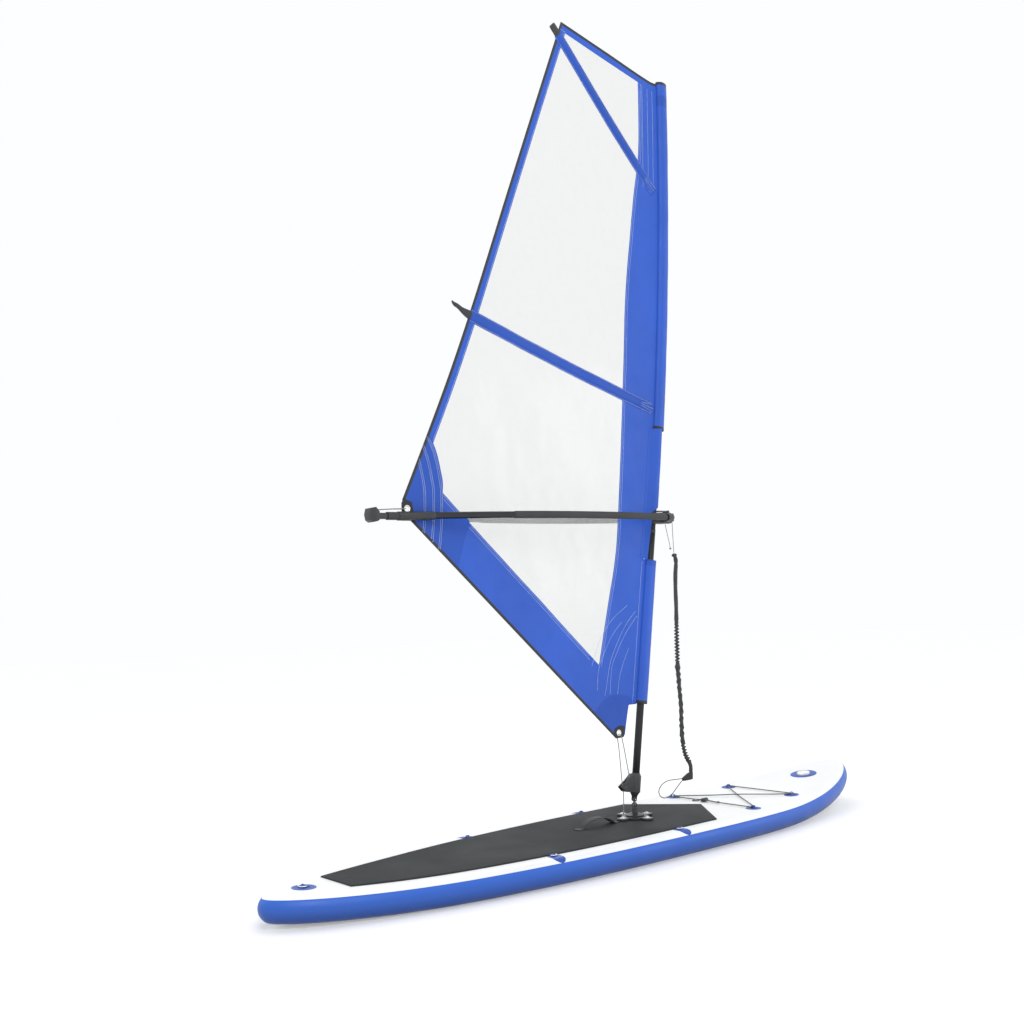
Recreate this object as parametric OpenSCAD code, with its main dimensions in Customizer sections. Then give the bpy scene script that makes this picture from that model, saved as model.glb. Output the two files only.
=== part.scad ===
// Inflatable windsurf board with its complete rig.
// X runs from the tail to the nose, Y to port, Z up.
// The origin is the middle of the board's box, on the level of its flat bottom.

/* [Board] */
// overall length of the board
board_len = 3300; // [3000:10:3600]
// overall width of the board
board_w = 720; // [680:5:780]
// thickness of the inflated board
board_t = 100; // [95:1:105]
// thickness of the coated skin
skin_t = 1.5; // [1.2:0.1:2]
// distance of the widest section from the tail
widest_x = 1900; // [1800:10:2000]
// height of the nose above the flat bottom
nose_rise = 100; // [80:1:120]
// height of the tail above the flat bottom
tail_rise = 18; // [14:1:24]
// thickness of the foam deck pad
pad_t = 5; // [4:0.5:6]

/* [Mast] */
// distance of the mast foot from the tail
foot_x = 1770; // [1750:5:1790]
// height of the upper pin of the mast foot joint
pivot_z = 185; // [180:1:195]
// forward lean of the rigged mast
mast_lean = 9.1; // [7:0.1:11]
// radius of the bend of the upper mast
mast_bend_r = 15500; // [14500:100:17000]
// outer radius of the lower mast tube
mast_r = 16; // [15.5:0.1:16.5]

/* [Boom] */
// radius of the curved arms of the boom
arm_bend_r = 2450; // [2400:10:2500]
// outer radius of an arm's tube
arm_r = 13; // [12.8:0.1:13.2]
// slope of the boom, rising to the front
boom_slope = 1.15; // [0:0.05:2]

/* [Sail] */
// thickness of the sail cloth and film
cloth_t = 1.2; // [1:0.1:2]
// width of the tape along the leech and the head
tape_w = 38; // [30:1:45]
// width of the panel along the foot
foot_w = 185; // [150:5:200]

/* [Hidden] */

// the rail is a half round, so its centre line lies this far inside the outline
rail_r = board_t / 2;
flat_half = board_w / 2 - rail_r;
// the coloured rail band starts this many degrees round from the top, and ends short of the bottom
band_from = 46;
band_low = 24;
// both curved ends start where the flat bottom stops
nose_from = 2384;
tail_from = 731;
nose_run = board_len - nose_from;
// the skins are lofted through this many sections
sections = 40;
end_share = 0.04;

function unit(v) = v / norm(v);
function reversed(p) = [for (i = [len(p) - 1 : -1 : 0]) p[i]];

// half width of the flat deck at a distance from the tail
function flat_at(x) = x < widest_x
    ? flat_half * pow(1 - pow((widest_x - x) / (widest_x - rail_r), 2.56), 1 / 1.45)
    : flat_half * pow(1 - pow((x - widest_x) / (board_len - rail_r - widest_x), 2.59), 1 / 1.32);

// height and slope of the bottom above the flat
function rise(x) = x > nose_from ? nose_rise * pow((x - nose_from) / nose_run, 2)
    : x < tail_from ? tail_rise * pow((tail_from - x) / tail_from, 2) : 0;
function pitch(x) = x > nose_from ? atan(2 * nose_rise * (x - nose_from) / pow(nose_run, 2))
    : x < tail_from ? -atan(2 * tail_rise * (tail_from - x) / pow(tail_from, 2)) : 0;

section_xs = [for (i = [0 : sections])
    rail_r + (board_len - 2 * rail_r) * (1 - cos(180 * (end_share + (1 - 2 * end_share) * i / sections))) / 2];
flat_loop = concat(
    [[rail_r, 0]],
    [for (x = section_xs) [x, -flat_at(x)]],
    [[board_len - rail_r, 0]],
    [for (x = reversed(section_xs)) [x, flat_at(x)]]);
loop_n = len(flat_loop);
loop_out = [for (i = [0 : loop_n - 1])
    let (a = flat_loop[(i + loop_n - 1) % loop_n], b = flat_loop[(i + 1) % loop_n])
    unit([(b - a)[1], -(b - a)[0]])];

// one ring of points round the board, at an angle from the top of the rail
function rail_ring(angle, r) = [for (i = [0 : loop_n - 1])
    let (p = flat_loop[i], out = r * sin(angle) * loop_out[i])
    [p[0] + out[0], p[1] + out[1], rail_r + rise(p[0]) + r * cos(angle)]];

// triangles between ring a and ring b of a stack of rings
function band_faces(a, b) = [for (i = [0 : loop_n - 1], k = [0, 1])
    let (j = (i + 1) % loop_n)
    k == 0 ? [a * loop_n + i, b * loop_n + i, b * loop_n + j]
           : [a * loop_n + i, b * loop_n + j, a * loop_n + j]];

// flat strip across a ring, seen from the side where the ring runs anticlockwise
function strip_faces(ring, flip) = let (
    o = ring * loop_n,
    last = loop_n - 1,
    tri = [[o, o + 1, o + last], [o + sections + 1, o + sections + 2, o + sections + 3]],
    quads = [for (i = [1 : sections]) [o + i, o + i + 1, o + last - i, o + last - i + 1]])
    [for (f = concat(tri, quads)) flip ? reversed(f) : f];

module from_tail() {
    translate([-board_len / 2, 0, 0])
        children();
}

// a place on the deck, with Z along the deck's own upright
module on_deck(x, y, lift = 0) {
    translate([x, y, board_t + rise(x)])
        rotate([0, -pitch(x), 0])
            translate([0, 0, lift])
                children();
}

// a tray-shaped skin: the flat and both curls, from the top or from the bottom
module skin_tray(top) {
    steps = 5;
    angles = [for (i = [0 : steps]) (top ? band_from : band_low) * i / steps];
    function turned(a) = top ? a : 180 - a;
    rings = concat(
        [for (a = angles) rail_ring(turned(a), rail_r)],
        [for (a = reversed(angles)) rail_ring(turned(a), rail_r - skin_t)]);
    count = len(rings);
    bands = [for (k = [0 : count - 2]) each band_faces(k, k + 1)];
    faces = concat(bands, strip_faces(0, false), strip_faces(count - 1, true));
    polyhedron([for (r = rings) each r], [for (f = faces) top ? reversed(f) : f], convexity = 6);
}

module deck_skin() {
    color("white") from_tail() difference() {
        skin_tray(true);
        on_deck(valve_x, 0)
            cylinder(r = valve_hole_r, h = 30, center = true, $fn = 64);
    }
}

module bottom_skin() {
    color("white") from_tail() skin_tray(false);
}

module rail_band() {
    steps = 9;
    angles = [for (i = [0 : steps]) band_from + (180 - band_low - band_from) * i / steps];
    rings = concat(
        [for (a = angles) rail_ring(a, rail_r)],
        [for (a = reversed(angles)) rail_ring(a, rail_r - skin_t)]);
    count = len(rings);
    faces = [for (k = [0 : count - 1]) each band_faces(k, (k + 1) % count)];
    color("royalblue") from_tail()
        polyhedron([for (r = rings) each r], [for (f = faces) reversed(f)], convexity = 6);
}

// bundles of the threads that hold deck and bottom parallel
thread_step_x = 200;
thread_step_y = 140;
thread_gap = 0.8;
module stitch_threads() {
    color("ivory") from_tail()
        for (x = [150 : thread_step_x : board_len - 150], y = [-2 : 2])
            if (abs(y * thread_step_y) < flat_at(x) - 25 && norm([x - valve_x, y * thread_step_y]) > 60)
                translate([x, y * thread_step_y, rise(x) + skin_t + thread_gap])
                    cylinder(r = 2, h = board_t - 2 * (skin_t + thread_gap), $fn = 16);
}

// deck pad: square at the tail, along the outline, and to a point ahead of the mast foot
pad_from = 288;
pad_shoulder = 1980;
pad_point = 2202;
pad_margin = 34;
pad_xs = concat([pad_from], [for (x = section_xs) if (x > pad_from + 5 && x < pad_shoulder - 5) x], [pad_shoulder]);
deck_heights = [for (x = section_xs) [x, board_t + rise(x)]];
function deck_z(x) = lookup(x, deck_heights);

module deck_pad() {
    n = len(pad_xs);
    corners = [for (x = pad_xs) each let (w = flat_at(x) - pad_margin, z = deck_z(x))
        [[x, -w, z], [x, w, z], [x, w, z + pad_t], [x, -w, z + pad_t]]];
    tip = [[pad_point, 0, board_t], [pad_point, 0, board_t + pad_t]];
    e = 4 * (n - 1);
    sides = [for (i = [0 : n - 2], k = [0 : 3])
        let (a = 4 * i + k, b = 4 * i + (k + 1) % 4)
        [a, b, b + 4, a + 4]];
    ends = [[3, 2, 1, 0], [e, e + 1, e + 4], [e + 1, e + 2, e + 5, e + 4], [e + 2, e + 3, e + 5], [e + 3, e, e + 4, e + 5]];
    color("dimgray") from_tail()
        polyhedron(concat(corners, tip), concat(sides, ends), convexity = 4);
}

// inflation valve on the nose
valve_x = 2991;
valve_hole_r = 25;
valve_tube_r = 24.5;
valve_bore_r = 18;
valve_floor = -32;
valve_rim = 5;

module valve_body() {
    color("gainsboro") from_tail() on_deck(valve_x, 0) difference() {
        union() {
            translate([0, 0, 0.6])
                cylinder(r = 32, h = valve_rim - 0.6, $fn = 96);
            translate([0, 0, valve_floor])
                cylinder(r = valve_tube_r, h = valve_rim - valve_floor, $fn = 96);
        }
        translate([0, 0, valve_floor + 5])
            difference() {
                cylinder(r = valve_bore_r, h = 60, $fn = 96);
                translate([-20, -3, 7])
                    cube([40, 6, 8]);
            }
        translate([0, 0, valve_floor - 1])
            cylinder(r = 12, h = 10, $fn = 64);
        cylinder(r = 3.05, h = 90, center = true, $fn = 32);
    }
}

module valve_pin() {
    color("whitesmoke") from_tail() on_deck(valve_x, 0) union() {
        translate([0, 0, valve_floor - 4])
            cylinder(r = 14, h = 3.7, $fn = 64);
        translate([0, 0, valve_floor - 4])
            cylinder(r = 3, h = 36, $fn = 32);
        translate([0, 0, -2])
            cylinder(r = 7, h = 4, $fn = 48);
    }
}

module valve_spring() {
    color("silver") from_tail() on_deck(valve_x, 0) difference() {
        translate([0, 0, -12])
            cylinder(r = 5.6, h = 9.8, $fn = 48);
        translate([0, 0, -13])
            cylinder(r = 4.2, h = 12, $fn = 48);
    }
}

module valve_cap() {
    color("white") from_tail() on_deck(valve_x, 0, valve_rim + 0.2) union() {
        cylinder(r = 31, h = 5, $fn = 96);
        translate([0, 0, 5])
            cylinder(r = 9, h = 2, $fn = 64);
        translate([0, 0, -6])
            difference() {
                cylinder(r = valve_bore_r - 0.05, h = 6, $fn = 96);
                translate([0, 0, -1])
                    cylinder(r = 15, h = 7, $fn = 64);
            }
    }
}

// welded patches: tail, sides, bungee corners and the valve surround
tail_ring_x = 165;
side_ring_xs = [1060, 1725];
bungee_rear = [2280, 235];
bungee_front = [2630, 185];
patch_t = 1.5;
patch_lift = 0.15;
rocker_lift = 0.6;
function pad_edge(x) = flat_at(x) - pad_margin;

// a tongue that starts beside the pad and curls over the rail
tongue_half = 25;
tongue_in = 28;
tongue_out = 36;
function outline_turn(x) = atan((flat_at(x + 5) - flat_at(x - 5)) / 10);
facet = 6;
function arc_points(r) = [for (a = [facet : facet : 8 * facet]) r * [sin(a), cos(a)]];
module side_patch(x) {
    flat_z = rail_r + patch_lift;
    inner_r = flat_z / cos(facet / 2);
    profile = concat(
        [[-tongue_in, flat_z], [0, flat_z]],
        arc_points(inner_r),
        reversed(arc_points(inner_r + patch_t)),
        [[0, flat_z + patch_t], [-tongue_in, flat_z + patch_t]]);
    outline = concat(
        [[tongue_half, -tongue_in]],
        [for (a = [0 : 10 : 180]) [0, tongue_out - tongue_half] + tongue_half * [cos(a), sin(a)]],
        [[-tongue_half, -tongue_in]]);
    translate([x, flat_at(x), board_t - rail_r])
        rotate([0, 0, outline_turn(x)])
            intersection() {
                rotate([90, 0, 90])
                    linear_extrude(height = 80, center = true)
                        polygon(profile);
                linear_extrude(height = 60)
                    polygon(outline);
            }
}

module anchor_patches() {
    color("royalblue") from_tail() {
        on_deck(tail_ring_x, 0, patch_lift)
            cylinder(r = 42, h = patch_t, $fn = 96);
        on_deck(valve_x, 0, rocker_lift)
            difference() {
                cylinder(r = 64, h = patch_t, $fn = 96);
                translate([0, 0, -1])
                    cylinder(r = 33, h = patch_t + 2, $fn = 96);
            }
        for (x = side_ring_xs, side = [0, 1])
            mirror([0, side, 0])
                side_patch(x);
        for (side = [-1, 1]) {
            on_deck(bungee_rear[0], side * bungee_rear[1], patch_lift)
                cylinder(r = 34, h = patch_t, $fn = 96);
            on_deck(bungee_front[0], side * bungee_front[1], rocker_lift)
                cylinder(r = 34, h = patch_t, $fn = 96);
        }
    }
}

// D rings lie flat on their patches, in webbing loops round the straight bar
tail_wire = 2.5;
tail_ring_r = 18;
side_wire = 2;
side_ring_r = 13;
loop_wall = 2.2;
loop_play = 0.08;
patch_top = patch_lift + patch_t;
tail_bar_z = patch_top + tail_wire + loop_play + loop_wall;
side_bar_z = patch_top + side_wire + loop_play + loop_wall;
side_bar_out = 14;

module webbing_loop(wire, length) {
    outer = wire + loop_play + loop_wall;
    difference() {
        union() {
            rotate([90, 0, 0])
                cylinder(r = outer, h = length, center = true, $fn = 48);
            translate([-outer - 6, -length / 2, -outer])
                cube([2 * outer + 10, length, 1.8]);
        }
        rotate([90, 0, 0])
            cylinder(r = wire + loop_play, h = length + 2, center = true, $fn = 48);
    }
}

module d_ring(ring_r, wire) {
    rotate([90, 0, 0])
        cylinder(r = wire, h = 2 * ring_r, center = true, $fn = 48);
    rotate([0, 0, -90])
        rotate_extrude(angle = 180, $fn = 96)
            translate([ring_r, 0])
                circle(r = wire, $fn = 48);
    for (side = [-1, 1])
        translate([0, side * ring_r, 0])
            sphere(r = wire, $fn = 48);
}

// bungee corner: a webbing arch standing on its patch
arch_r = 9;
arch_wire = 2;
arch_turn = 70.1;
module webbing_arch(turn) {
    cylinder(r = 14, h = 1.4, $fn = 64);
    translate([0, 0, 1.4])
        rotate([90, 0, turn])
            rotate_extrude(angle = 180, $fn = 96)
                translate([arch_r, 0])
                    circle(r = arch_wire, $fn = 32);
}

module side_place(x, side) {
    on_deck(x, side * (pad_edge(x) + side_bar_out), side_bar_z)
        rotate([0, 0, side * 90])
            children();
}

module webbing_loops() {
    color("royalblue") from_tail() {
        on_deck(tail_ring_x, 0, tail_bar_z)
            rotate([0, 0, 180])
                webbing_loop(tail_wire, 22);
        for (x = side_ring_xs, side = [-1, 1])
            side_place(x, side)
                webbing_loop(side_wire, 16);
        for (side = [-1, 1]) {
            on_deck(bungee_rear[0], side * bungee_rear[1], patch_top)
                webbing_arch(-side * arch_turn);
            on_deck(bungee_front[0], side * bungee_front[1], rocker_lift + patch_t)
                webbing_arch(side * arch_turn);
        }
    }
}

module tail_ring() {
    color("silver") from_tail() on_deck(tail_ring_x, 0, tail_bar_z)
        rotate([0, 0, 180])
            d_ring(tail_ring_r, tail_wire);
}

module side_ring(x, side) {
    color("silver") from_tail() side_place(x, side)
        d_ring(side_ring_r, side_wire);
}

module side_ring_1() {
    side_ring(side_ring_xs[0], 1);
}

module side_ring_2() {
    side_ring(side_ring_xs[0], -1);
}

module side_ring_3() {
    side_ring(side_ring_xs[1], 1);
}

module side_ring_4() {
    side_ring(side_ring_xs[1], -1);
}

// a cord: a round tube swept along its route, ref is a direction that the route never takes
function heading(p, i) = unit(p[min(i + 1, len(p) - 1)] - p[max(i - 1, 0)]);
module cord(route, d, ref, sides = 8) {
    n = len(route);
    points = [for (i = [0 : n - 1])
        let (t = heading(route, i), u = unit(cross(t, ref)), v = cross(t, u))
        for (k = [0 : sides - 1]) route[i] + d / 2 * (cos(360 * k / sides) * u + sin(360 * k / sides) * v)];
    walls = [for (i = [0 : n - 2], k = [0 : sides - 1], h = [0, 1])
        let (m = (k + 1) % sides, a = i * sides, b = a + sides)
        h == 0 ? [a + k, a + m, b + m] : [a + k, b + m, b + k]];
    ends = [[for (k = [sides - 1 : -1 : 0]) k], [for (k = [0 : sides - 1]) (n - 1) * sides + k]];
    polyhedron(points, [for (f = concat(walls, ends)) reversed(f)], convexity = 8);
}

bungee_d = 5;
bungee_route = [
    [2258, 92, 103], [2264, 75, 104], [2269, 58, 107], [2270, 46, 109], [2270, 34, 109], [2270, 22, 109],
    [2272, -20, 107], [2274, -80, 106], [2274, -140, 106], [2274, -200, 106], [2274, -226, 106],
    [2276, -232, 106], [2280, -235, 106], [2286, -235, 106], [2290, -232, 106],
    [2350, -157, 106], [2410, -81, 106], [2475, 0, 106], [2540, 82, 109], [2580, 132, 111.2],
    [2620, 182, 113.8], [2624, 185, 113.8], [2630, 185, 113.8], [2634, 182, 113.8], [2636, 176, 113.8],
    [2636, 120, 113.8], [2636, 60, 113.8], [2636, 0, 113.8], [2636, -60, 113.8], [2636, -120, 113.8],
    [2636, -176, 113.8], [2634, -182, 113.8], [2630, -185, 113.8], [2624, -185, 113.8], [2620, -182, 113.8],
    [2580, -132, 112], [2540, -82, 112], [2475, 0, 112], [2410, 81, 109], [2350, 157, 107],
    [2290, 232, 106], [2286, 235, 106], [2280, 235, 106], [2276, 232, 106], [2274, 226, 106],
    [2274, 180, 106], [2275, 120, 106], [2276, 80, 107], [2278, 58, 109], [2278, 46, 109],
    [2278, 34, 109], [2278, 22, 109], [2280, 6, 107], [2286, -12, 104], [2292, -26, 103]
];
module bungee_cord() {
    color("gray") from_tail() cord(bungee_route, bungee_d, [0, 0, 1]);
}

// cord lock on the rear run of the bungee
lock_at = [2274, 40, 109.3];
lock_r = 9;
module cord_lock() {
    color("black") from_tail() translate(lock_at) difference() {
        translate([-15, 0, 0])
            rotate([0, 90, 0])
                cylinder(r = lock_r, h = 30, $fn = 64);
        translate([-7, -20, -3])
            cube([14, 40, 6]);
        translate([8, 0, 0])
            rotate([0, 90, 0])
                cylinder(r = 6.05, h = 10, $fn = 48);
    }
}

module lock_button() {
    color("dimgray") from_tail() translate(lock_at + [13, 0, 0])
        rotate([0, 90, 0])
            cylinder(r = 6, h = 10, $fn = 48);
}

// carry handle: a webbing arch with a tab at each end
handle_x = 1540;
handle_half = 95;
handle_arch_r = 150;
handle_w = 38;
handle_t = 3;
module carry_handle() {
    drop = sqrt(pow(handle_arch_r, 2) - pow(handle_half, 2));
    color("black") from_tail() translate([handle_x, 0, board_t + pad_t]) {
        intersection() {
            translate([0, 0, -drop])
                rotate([90, 0, 0])
                    difference() {
                        cylinder(r = handle_arch_r + handle_t, h = handle_w, center = true, $fn = 180);
                        cylinder(r = handle_arch_r, h = handle_w + 2, center = true, $fn = 180);
                    }
            translate([-150, -50, 0])
                cube([300, 100, 100]);
        }
        for (side = [-1, 1])
            translate([side * (handle_half + 10) - 12, -handle_w / 2, 0])
                cube([24, handle_w, handle_t]);
    }
}

// slide-in fin box under the tail
fin_box_x = 160;
fin_box_t = 7;
module fin_box() {
    color("whitesmoke") from_tail()
        translate([fin_box_x, 0, rise(fin_box_x)])
            rotate([0, -pitch(fin_box_x), 0])
                translate([0, 0, -fin_box_t])
                    difference() {
                        union() {
                            translate([-45, -20, 0])
                                cube([90, 40, fin_box_t]);
                            for (end = [-1, 1])
                                translate([end * 45, 0, 0])
                                    cylinder(r = 20, h = fin_box_t, $fn = 64);
                        }
                        translate([-50, -3.3, -1])
                            cube([100, 6.6, 6]);
                    }
}

// mast base: a four-lobed plate screwed to the deck
plate_z = board_t + pad_t;
plate_t = 10;
plate_top = plate_z + plate_t;
lobe_at = 74;
module each_lobe() {
    for (a = [0 : 90 : 270])
        rotate([0, 0, a])
            translate([lobe_at, 0, 0])
                children();
}

module base_plate() {
    color("black") from_tail() translate([foot_x, 0, plate_z]) difference() {
        union() {
            cylinder(r = 58, h = plate_t, $fn = 96);
            each_lobe() {
                cylinder(r = 24, h = plate_t, $fn = 64);
                translate([-50, -17, 0])
                    cube([50, 34, plate_t]);
            }
        }
        translate([0, 0, 2])
            cylinder(r = 4, h = plate_t, $fn = 48);
        each_lobe()
            translate([0, 0, -1])
                cylinder(r = 3.3, h = plate_t + 2, $fn = 32);
    }
}

module base_screws() {
    color("silver") from_tail() translate([foot_x, 0, plate_z]) each_lobe() {
        translate([0, 0, plate_t])
            difference() {
                cylinder(r = 12.5, h = 1.5, $fn = 64);
                translate([0, 0, -1])
                    cylinder(r = 3.2, h = 4, $fn = 32);
            }
        difference() {
            union() {
                cylinder(r = 3, h = plate_t + 2, $fn = 32);
                translate([0, 0, plate_t + 1.5])
                    cylinder(r = 6, h = 4, $fn = 48);
            }
            translate([0, 0, plate_t + 3])
                cylinder(r = 2.5, h = 4, $fn = 6);
        }
    }
}

module base_stud() {
    color("silver") from_tail() translate([foot_x, 0, plate_z + 2]) {
        cylinder(r = 4, h = 31.2, $fn = 48);
        translate([0, 0, 31.2])
            cylinder(r = 6.3, h = 4.8, $fn = 48);
    }
}

// two-way joint: hub, link with two crossed pins, and the yoke under the mast
pin_gap = 22;
lower_pin_z = pivot_z - pin_gap;
eye_r = 7;
ear_r = 8;
ear_half = 9;
slot_half = 4.1;
pin_r = 2.5;
pin_play = 0.05;
module swivel_hub() {
    color("black") from_tail() translate([foot_x, 0, 0]) difference() {
        union() {
            translate([0, 0, plate_top + 0.2])
                cylinder(r = 40, h = 6, $fn = 96);
            translate([0, 0, plate_top + 6.2])
                cylinder(r1 = 36, r2 = 15, h = 9, $fn = 96);
            translate([0, 0, plate_top + 15])
                cylinder(r = 13.5, h = 20, $fn = 96);
            translate([-ear_half, -ear_r, plate_top + 25])
                cube([2 * ear_half, 2 * ear_r, lower_pin_z - plate_top - 25]);
            translate([0, 0, lower_pin_z])
                rotate([0, 90, 0])
                    cylinder(r = ear_r, h = 2 * ear_half, center = true, $fn = 64);
        }
        cylinder(r = 4.05, h = 200, $fn = 48);
        translate([0, 0, 138])
            cylinder(r = 6.7, h = lower_pin_z - ear_r - 137.5, $fn = 48);
        translate([-slot_half, -30, lower_pin_z - ear_r])
            cube([2 * slot_half, 60, 30]);
        translate([0, 0, lower_pin_z])
            rotate([0, 90, 0])
                cylinder(r = pin_r + pin_play, h = 40, center = true, $fn = 48);
    }
}

module joint_link() {
    color("dimgray") from_tail() translate([foot_x, 0, 0]) difference() {
        union() {
            translate([0, 0, lower_pin_z])
                rotate([0, 90, 0])
                    cylinder(r = eye_r, h = 8, center = true, $fn = 64);
            translate([0, 0, pivot_z])
                rotate([90, 0, 0])
                    cylinder(r = eye_r, h = 8, center = true, $fn = 64);
            translate([-4, -4, lower_pin_z])
                cube([8, 8, pin_gap]);
        }
        translate([0, 0, lower_pin_z])
            rotate([0, 90, 0])
                cylinder(r = pin_r, h = 20, center = true, $fn = 48);
        translate([0, 0, pivot_z])
            rotate([90, 0, 0])
                cylinder(r = pin_r, h = 20, center = true, $fn = 48);
    }
}

module link_pins() {
    color("silver") from_tail() translate([foot_x, 0, 0]) {
        translate([0, 0, lower_pin_z])
            rotate([0, 90, 0])
                cylinder(r = pin_r, h = 2 * ear_half, center = true, $fn = 48);
        translate([0, 0, pivot_z])
            rotate([90, 0, 0])
                cylinder(r = pin_r, h = 2 * ear_half, center = true, $fn = 48);
    }
}

// a place on the straight lower mast, at a distance up from the upper pin
module on_mast(s) {
    translate([foot_x, 0, pivot_z])
        rotate([0, mast_lean, 0])
            translate([0, 0, s])
                children();
}

yoke_top = 30;
collar_top = 112;
collar_r = 24;
module upper_yoke() {
    color("black") from_tail() on_mast(0) difference() {
        union() {
            rotate([90, 0, 0])
                cylinder(r = ear_r, h = 2 * ear_half, center = true, $fn = 64);
            translate([-ear_r, -ear_half, 0])
                cube([2 * ear_r, 2 * ear_half, 14]);
            translate([0, 0, ear_r])
                cylinder(r1 = 9.5, r2 = 21, h = yoke_top - ear_r, $fn = 96);
        }
        translate([-15, -slot_half, -10])
            cube([30, 2 * slot_half, 10 + ear_r]);
        rotate([90, 0, 0])
            cylinder(r = pin_r + pin_play, h = 40, center = true, $fn = 48);
    }
}

// collar of the mast extension, with a fork for the downhaul sheave on its aft side
sheave_at = [1712, 0, 247];
sheave_r = 13;
fork_half = 4.6;
ext_tube_r = mast_r - 2;
module extension_collar() {
    color("black") from_tail() difference() {
        union() {
            on_mast(yoke_top)
                cylinder(r = collar_r, h = collar_top - yoke_top - 14, $fn = 96);
            on_mast(collar_top - 14)
                cylinder(r1 = collar_r, r2 = mast_r + 1.5, h = 14, $fn = 96);
            rotate([90, 0, 0])
                linear_extrude(height = 25, center = true)
                    polygon([[1685, 248], [1724, 270], [1760, 296], [1780, 290], [1780, 222], [1752, 218], [1707, 226]]);
        }
        on_mast(60)
            cylinder(r = ext_tube_r, h = 80, $fn = 96);
        on_mast(yoke_top - 40)
            cylinder(r = 60, h = 40, $fn = 96);
        translate([1650, -fork_half, 200])
            cube([78, 2 * fork_half, 100]);
        translate(sheave_at)
            rotate([90, 0, 0])
                cylinder(r = 3.05, h = 60, center = true, $fn = 48);
    }
}

module extension_tube() {
    color("silver") from_tail() on_mast(60) difference() {
        cylinder(r = ext_tube_r, h = 300, $fn = 96);
        translate([0, 0, -1])
            cylinder(r = ext_tube_r - 2, h = 302, $fn = 96);
    }
}

module downhaul_sheave() {
    color("gray") from_tail() translate(sheave_at) rotate([90, 0, 0]) {
        cylinder(r = 3, h = 25, center = true, $fn = 48);
        cylinder(r = 9, h = 8, center = true, $fn = 64);
        for (side = [-1, 1])
            translate([0, 0, side * 3.4])
                cylinder(r = sheave_r, h = 1.4, center = true, $fn = 64);
    }
}

downhaul_d = 4;
downhaul_route = [
    [1738, -7, 283], [1736, -7, 300], [1724, -7, 360], [1712, -7, 420], [1703, -7, 456], [1699, -6, 464],
    [1696, -3.5, 470.5], [1695, 0, 472], [1694, 3.5, 470.5], [1692, 6, 464], [1690, 6, 456], [1693, 4, 420],
    [1696, 2, 360], [1699, 1, 300], [1700, 0, 270], [1701, 0, 250], [1701, 0, 242], [1704, 0, 234],
    [1706, 0, 224], [1706, 0, 200], [1704, 0, 170], [1702, 0, 140], [1701, 0, 128]
];
module downhaul_line() {
    color("gray") from_tail() cord(downhaul_route, downhaul_d, [1, 0, 0.02]);
}

// the mast: straight to the boom, then one long bend back to upright
straight_top_z = 1352;
mast_start_x = foot_x + (straight_top_z - pivot_z) * tan(mast_lean);
bend_centre = [mast_start_x - mast_bend_r * cos(mast_lean), straight_top_z + mast_bend_r * sin(mast_lean)];
straight_len = (straight_top_z - pivot_z) / cos(mast_lean);
upper_r = mast_r - 1;
upper_bore = 13;
mast_top_z = 3436;
function bend_angle(z) = asin((z - bend_centre[1]) / mast_bend_r);
function mast_x(z) = z < straight_top_z ? foot_x + (z - pivot_z) * tan(mast_lean)
    : bend_centre[0] + mast_bend_r * cos(bend_angle(z));

// a profile swept along the bend of the mast, between two heights
module along_bend(z0, z1) {
    a = bend_angle(z0);
    translate([bend_centre[0], 0, bend_centre[1]])
        rotate([90, 0, 0])
            rotate([0, 0, a])
                rotate_extrude(angle = bend_angle(z1) - a, $fn = 720)
                    translate([mast_bend_r, 0])
                        children();
}

module mast_lower() {
    color("dimgray") from_tail() on_mast(collar_top) difference() {
        cylinder(r = mast_r, h = straight_len - collar_top, $fn = 96);
        translate([0, 0, -1])
            cylinder(r = mast_r - 2, h = straight_len, $fn = 96);
    }
}

module mast_upper() {
    color("dimgray") from_tail() along_bend(straight_top_z, mast_top_z) difference() {
        circle(r = upper_r, $fn = 96);
        circle(r = upper_bore, $fn = 96);
    }
}

module mast_ferrule() {
    color("silver") from_tail() {
        on_mast(straight_len - 150)
            difference() {
                cylinder(r = mast_r - 2, h = 150, $fn = 96);
                translate([0, 0, -1])
                    cylinder(r = 10, h = 152, $fn = 96);
            }
        along_bend(straight_top_z, straight_top_z + 140)
            difference() {
                circle(r = upper_bore, $fn = 96);
                circle(r = 10, $fn = 96);
            }
    }
}

module mast_cap() {
    color("black") from_tail()
        translate([mast_x(mast_top_z), 0, mast_top_z])
            rotate([0, -bend_angle(mast_top_z), 0]) {
                cylinder(r = upper_r, h = 6, $fn = 96);
                translate([0, 0, -30])
                    cylinder(r = upper_bore - 0.2, h = 30, $fn = 96);
            }
}

// luff sleeves: loose tubes round the mast, pointed ahead and seamed to the sail behind
sleeve_front = 38;
sleeve_back = 28;
module sleeve_profile(r) {
    side = r * 0.875;
    difference() {
        union() {
            circle(r = r + 1.3, $fn = 96);
            polygon([
                [sleeve_front, 0.8], [r * 0.55, side + 1.2], [-r * 0.55, side + 1.2], [-sleeve_back, 0.8],
                [-sleeve_back, -0.8], [-r * 0.55, -side - 1.2], [r * 0.55, -side - 1.2], [sleeve_front, -0.8]
            ]);
        }
        circle(r = r, $fn = 96);
    }
}

sleeve_lower_z = [590, 1217];
sleeve_upper_z = [1808, 3450];
module sleeve_lower() {
    from = (sleeve_lower_z[0] - pivot_z) / cos(mast_lean);
    color("royalblue") from_tail() on_mast(from)
        linear_extrude(height = (sleeve_lower_z[1] - sleeve_lower_z[0]) / cos(mast_lean))
            sleeve_profile(mast_r + 1);
}

module sleeve_upper() {
    color("royalblue") from_tail() along_bend(sleeve_upper_z[0], sleeve_upper_z[1])
        sleeve_profile(upper_r + 1);
}

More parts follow.
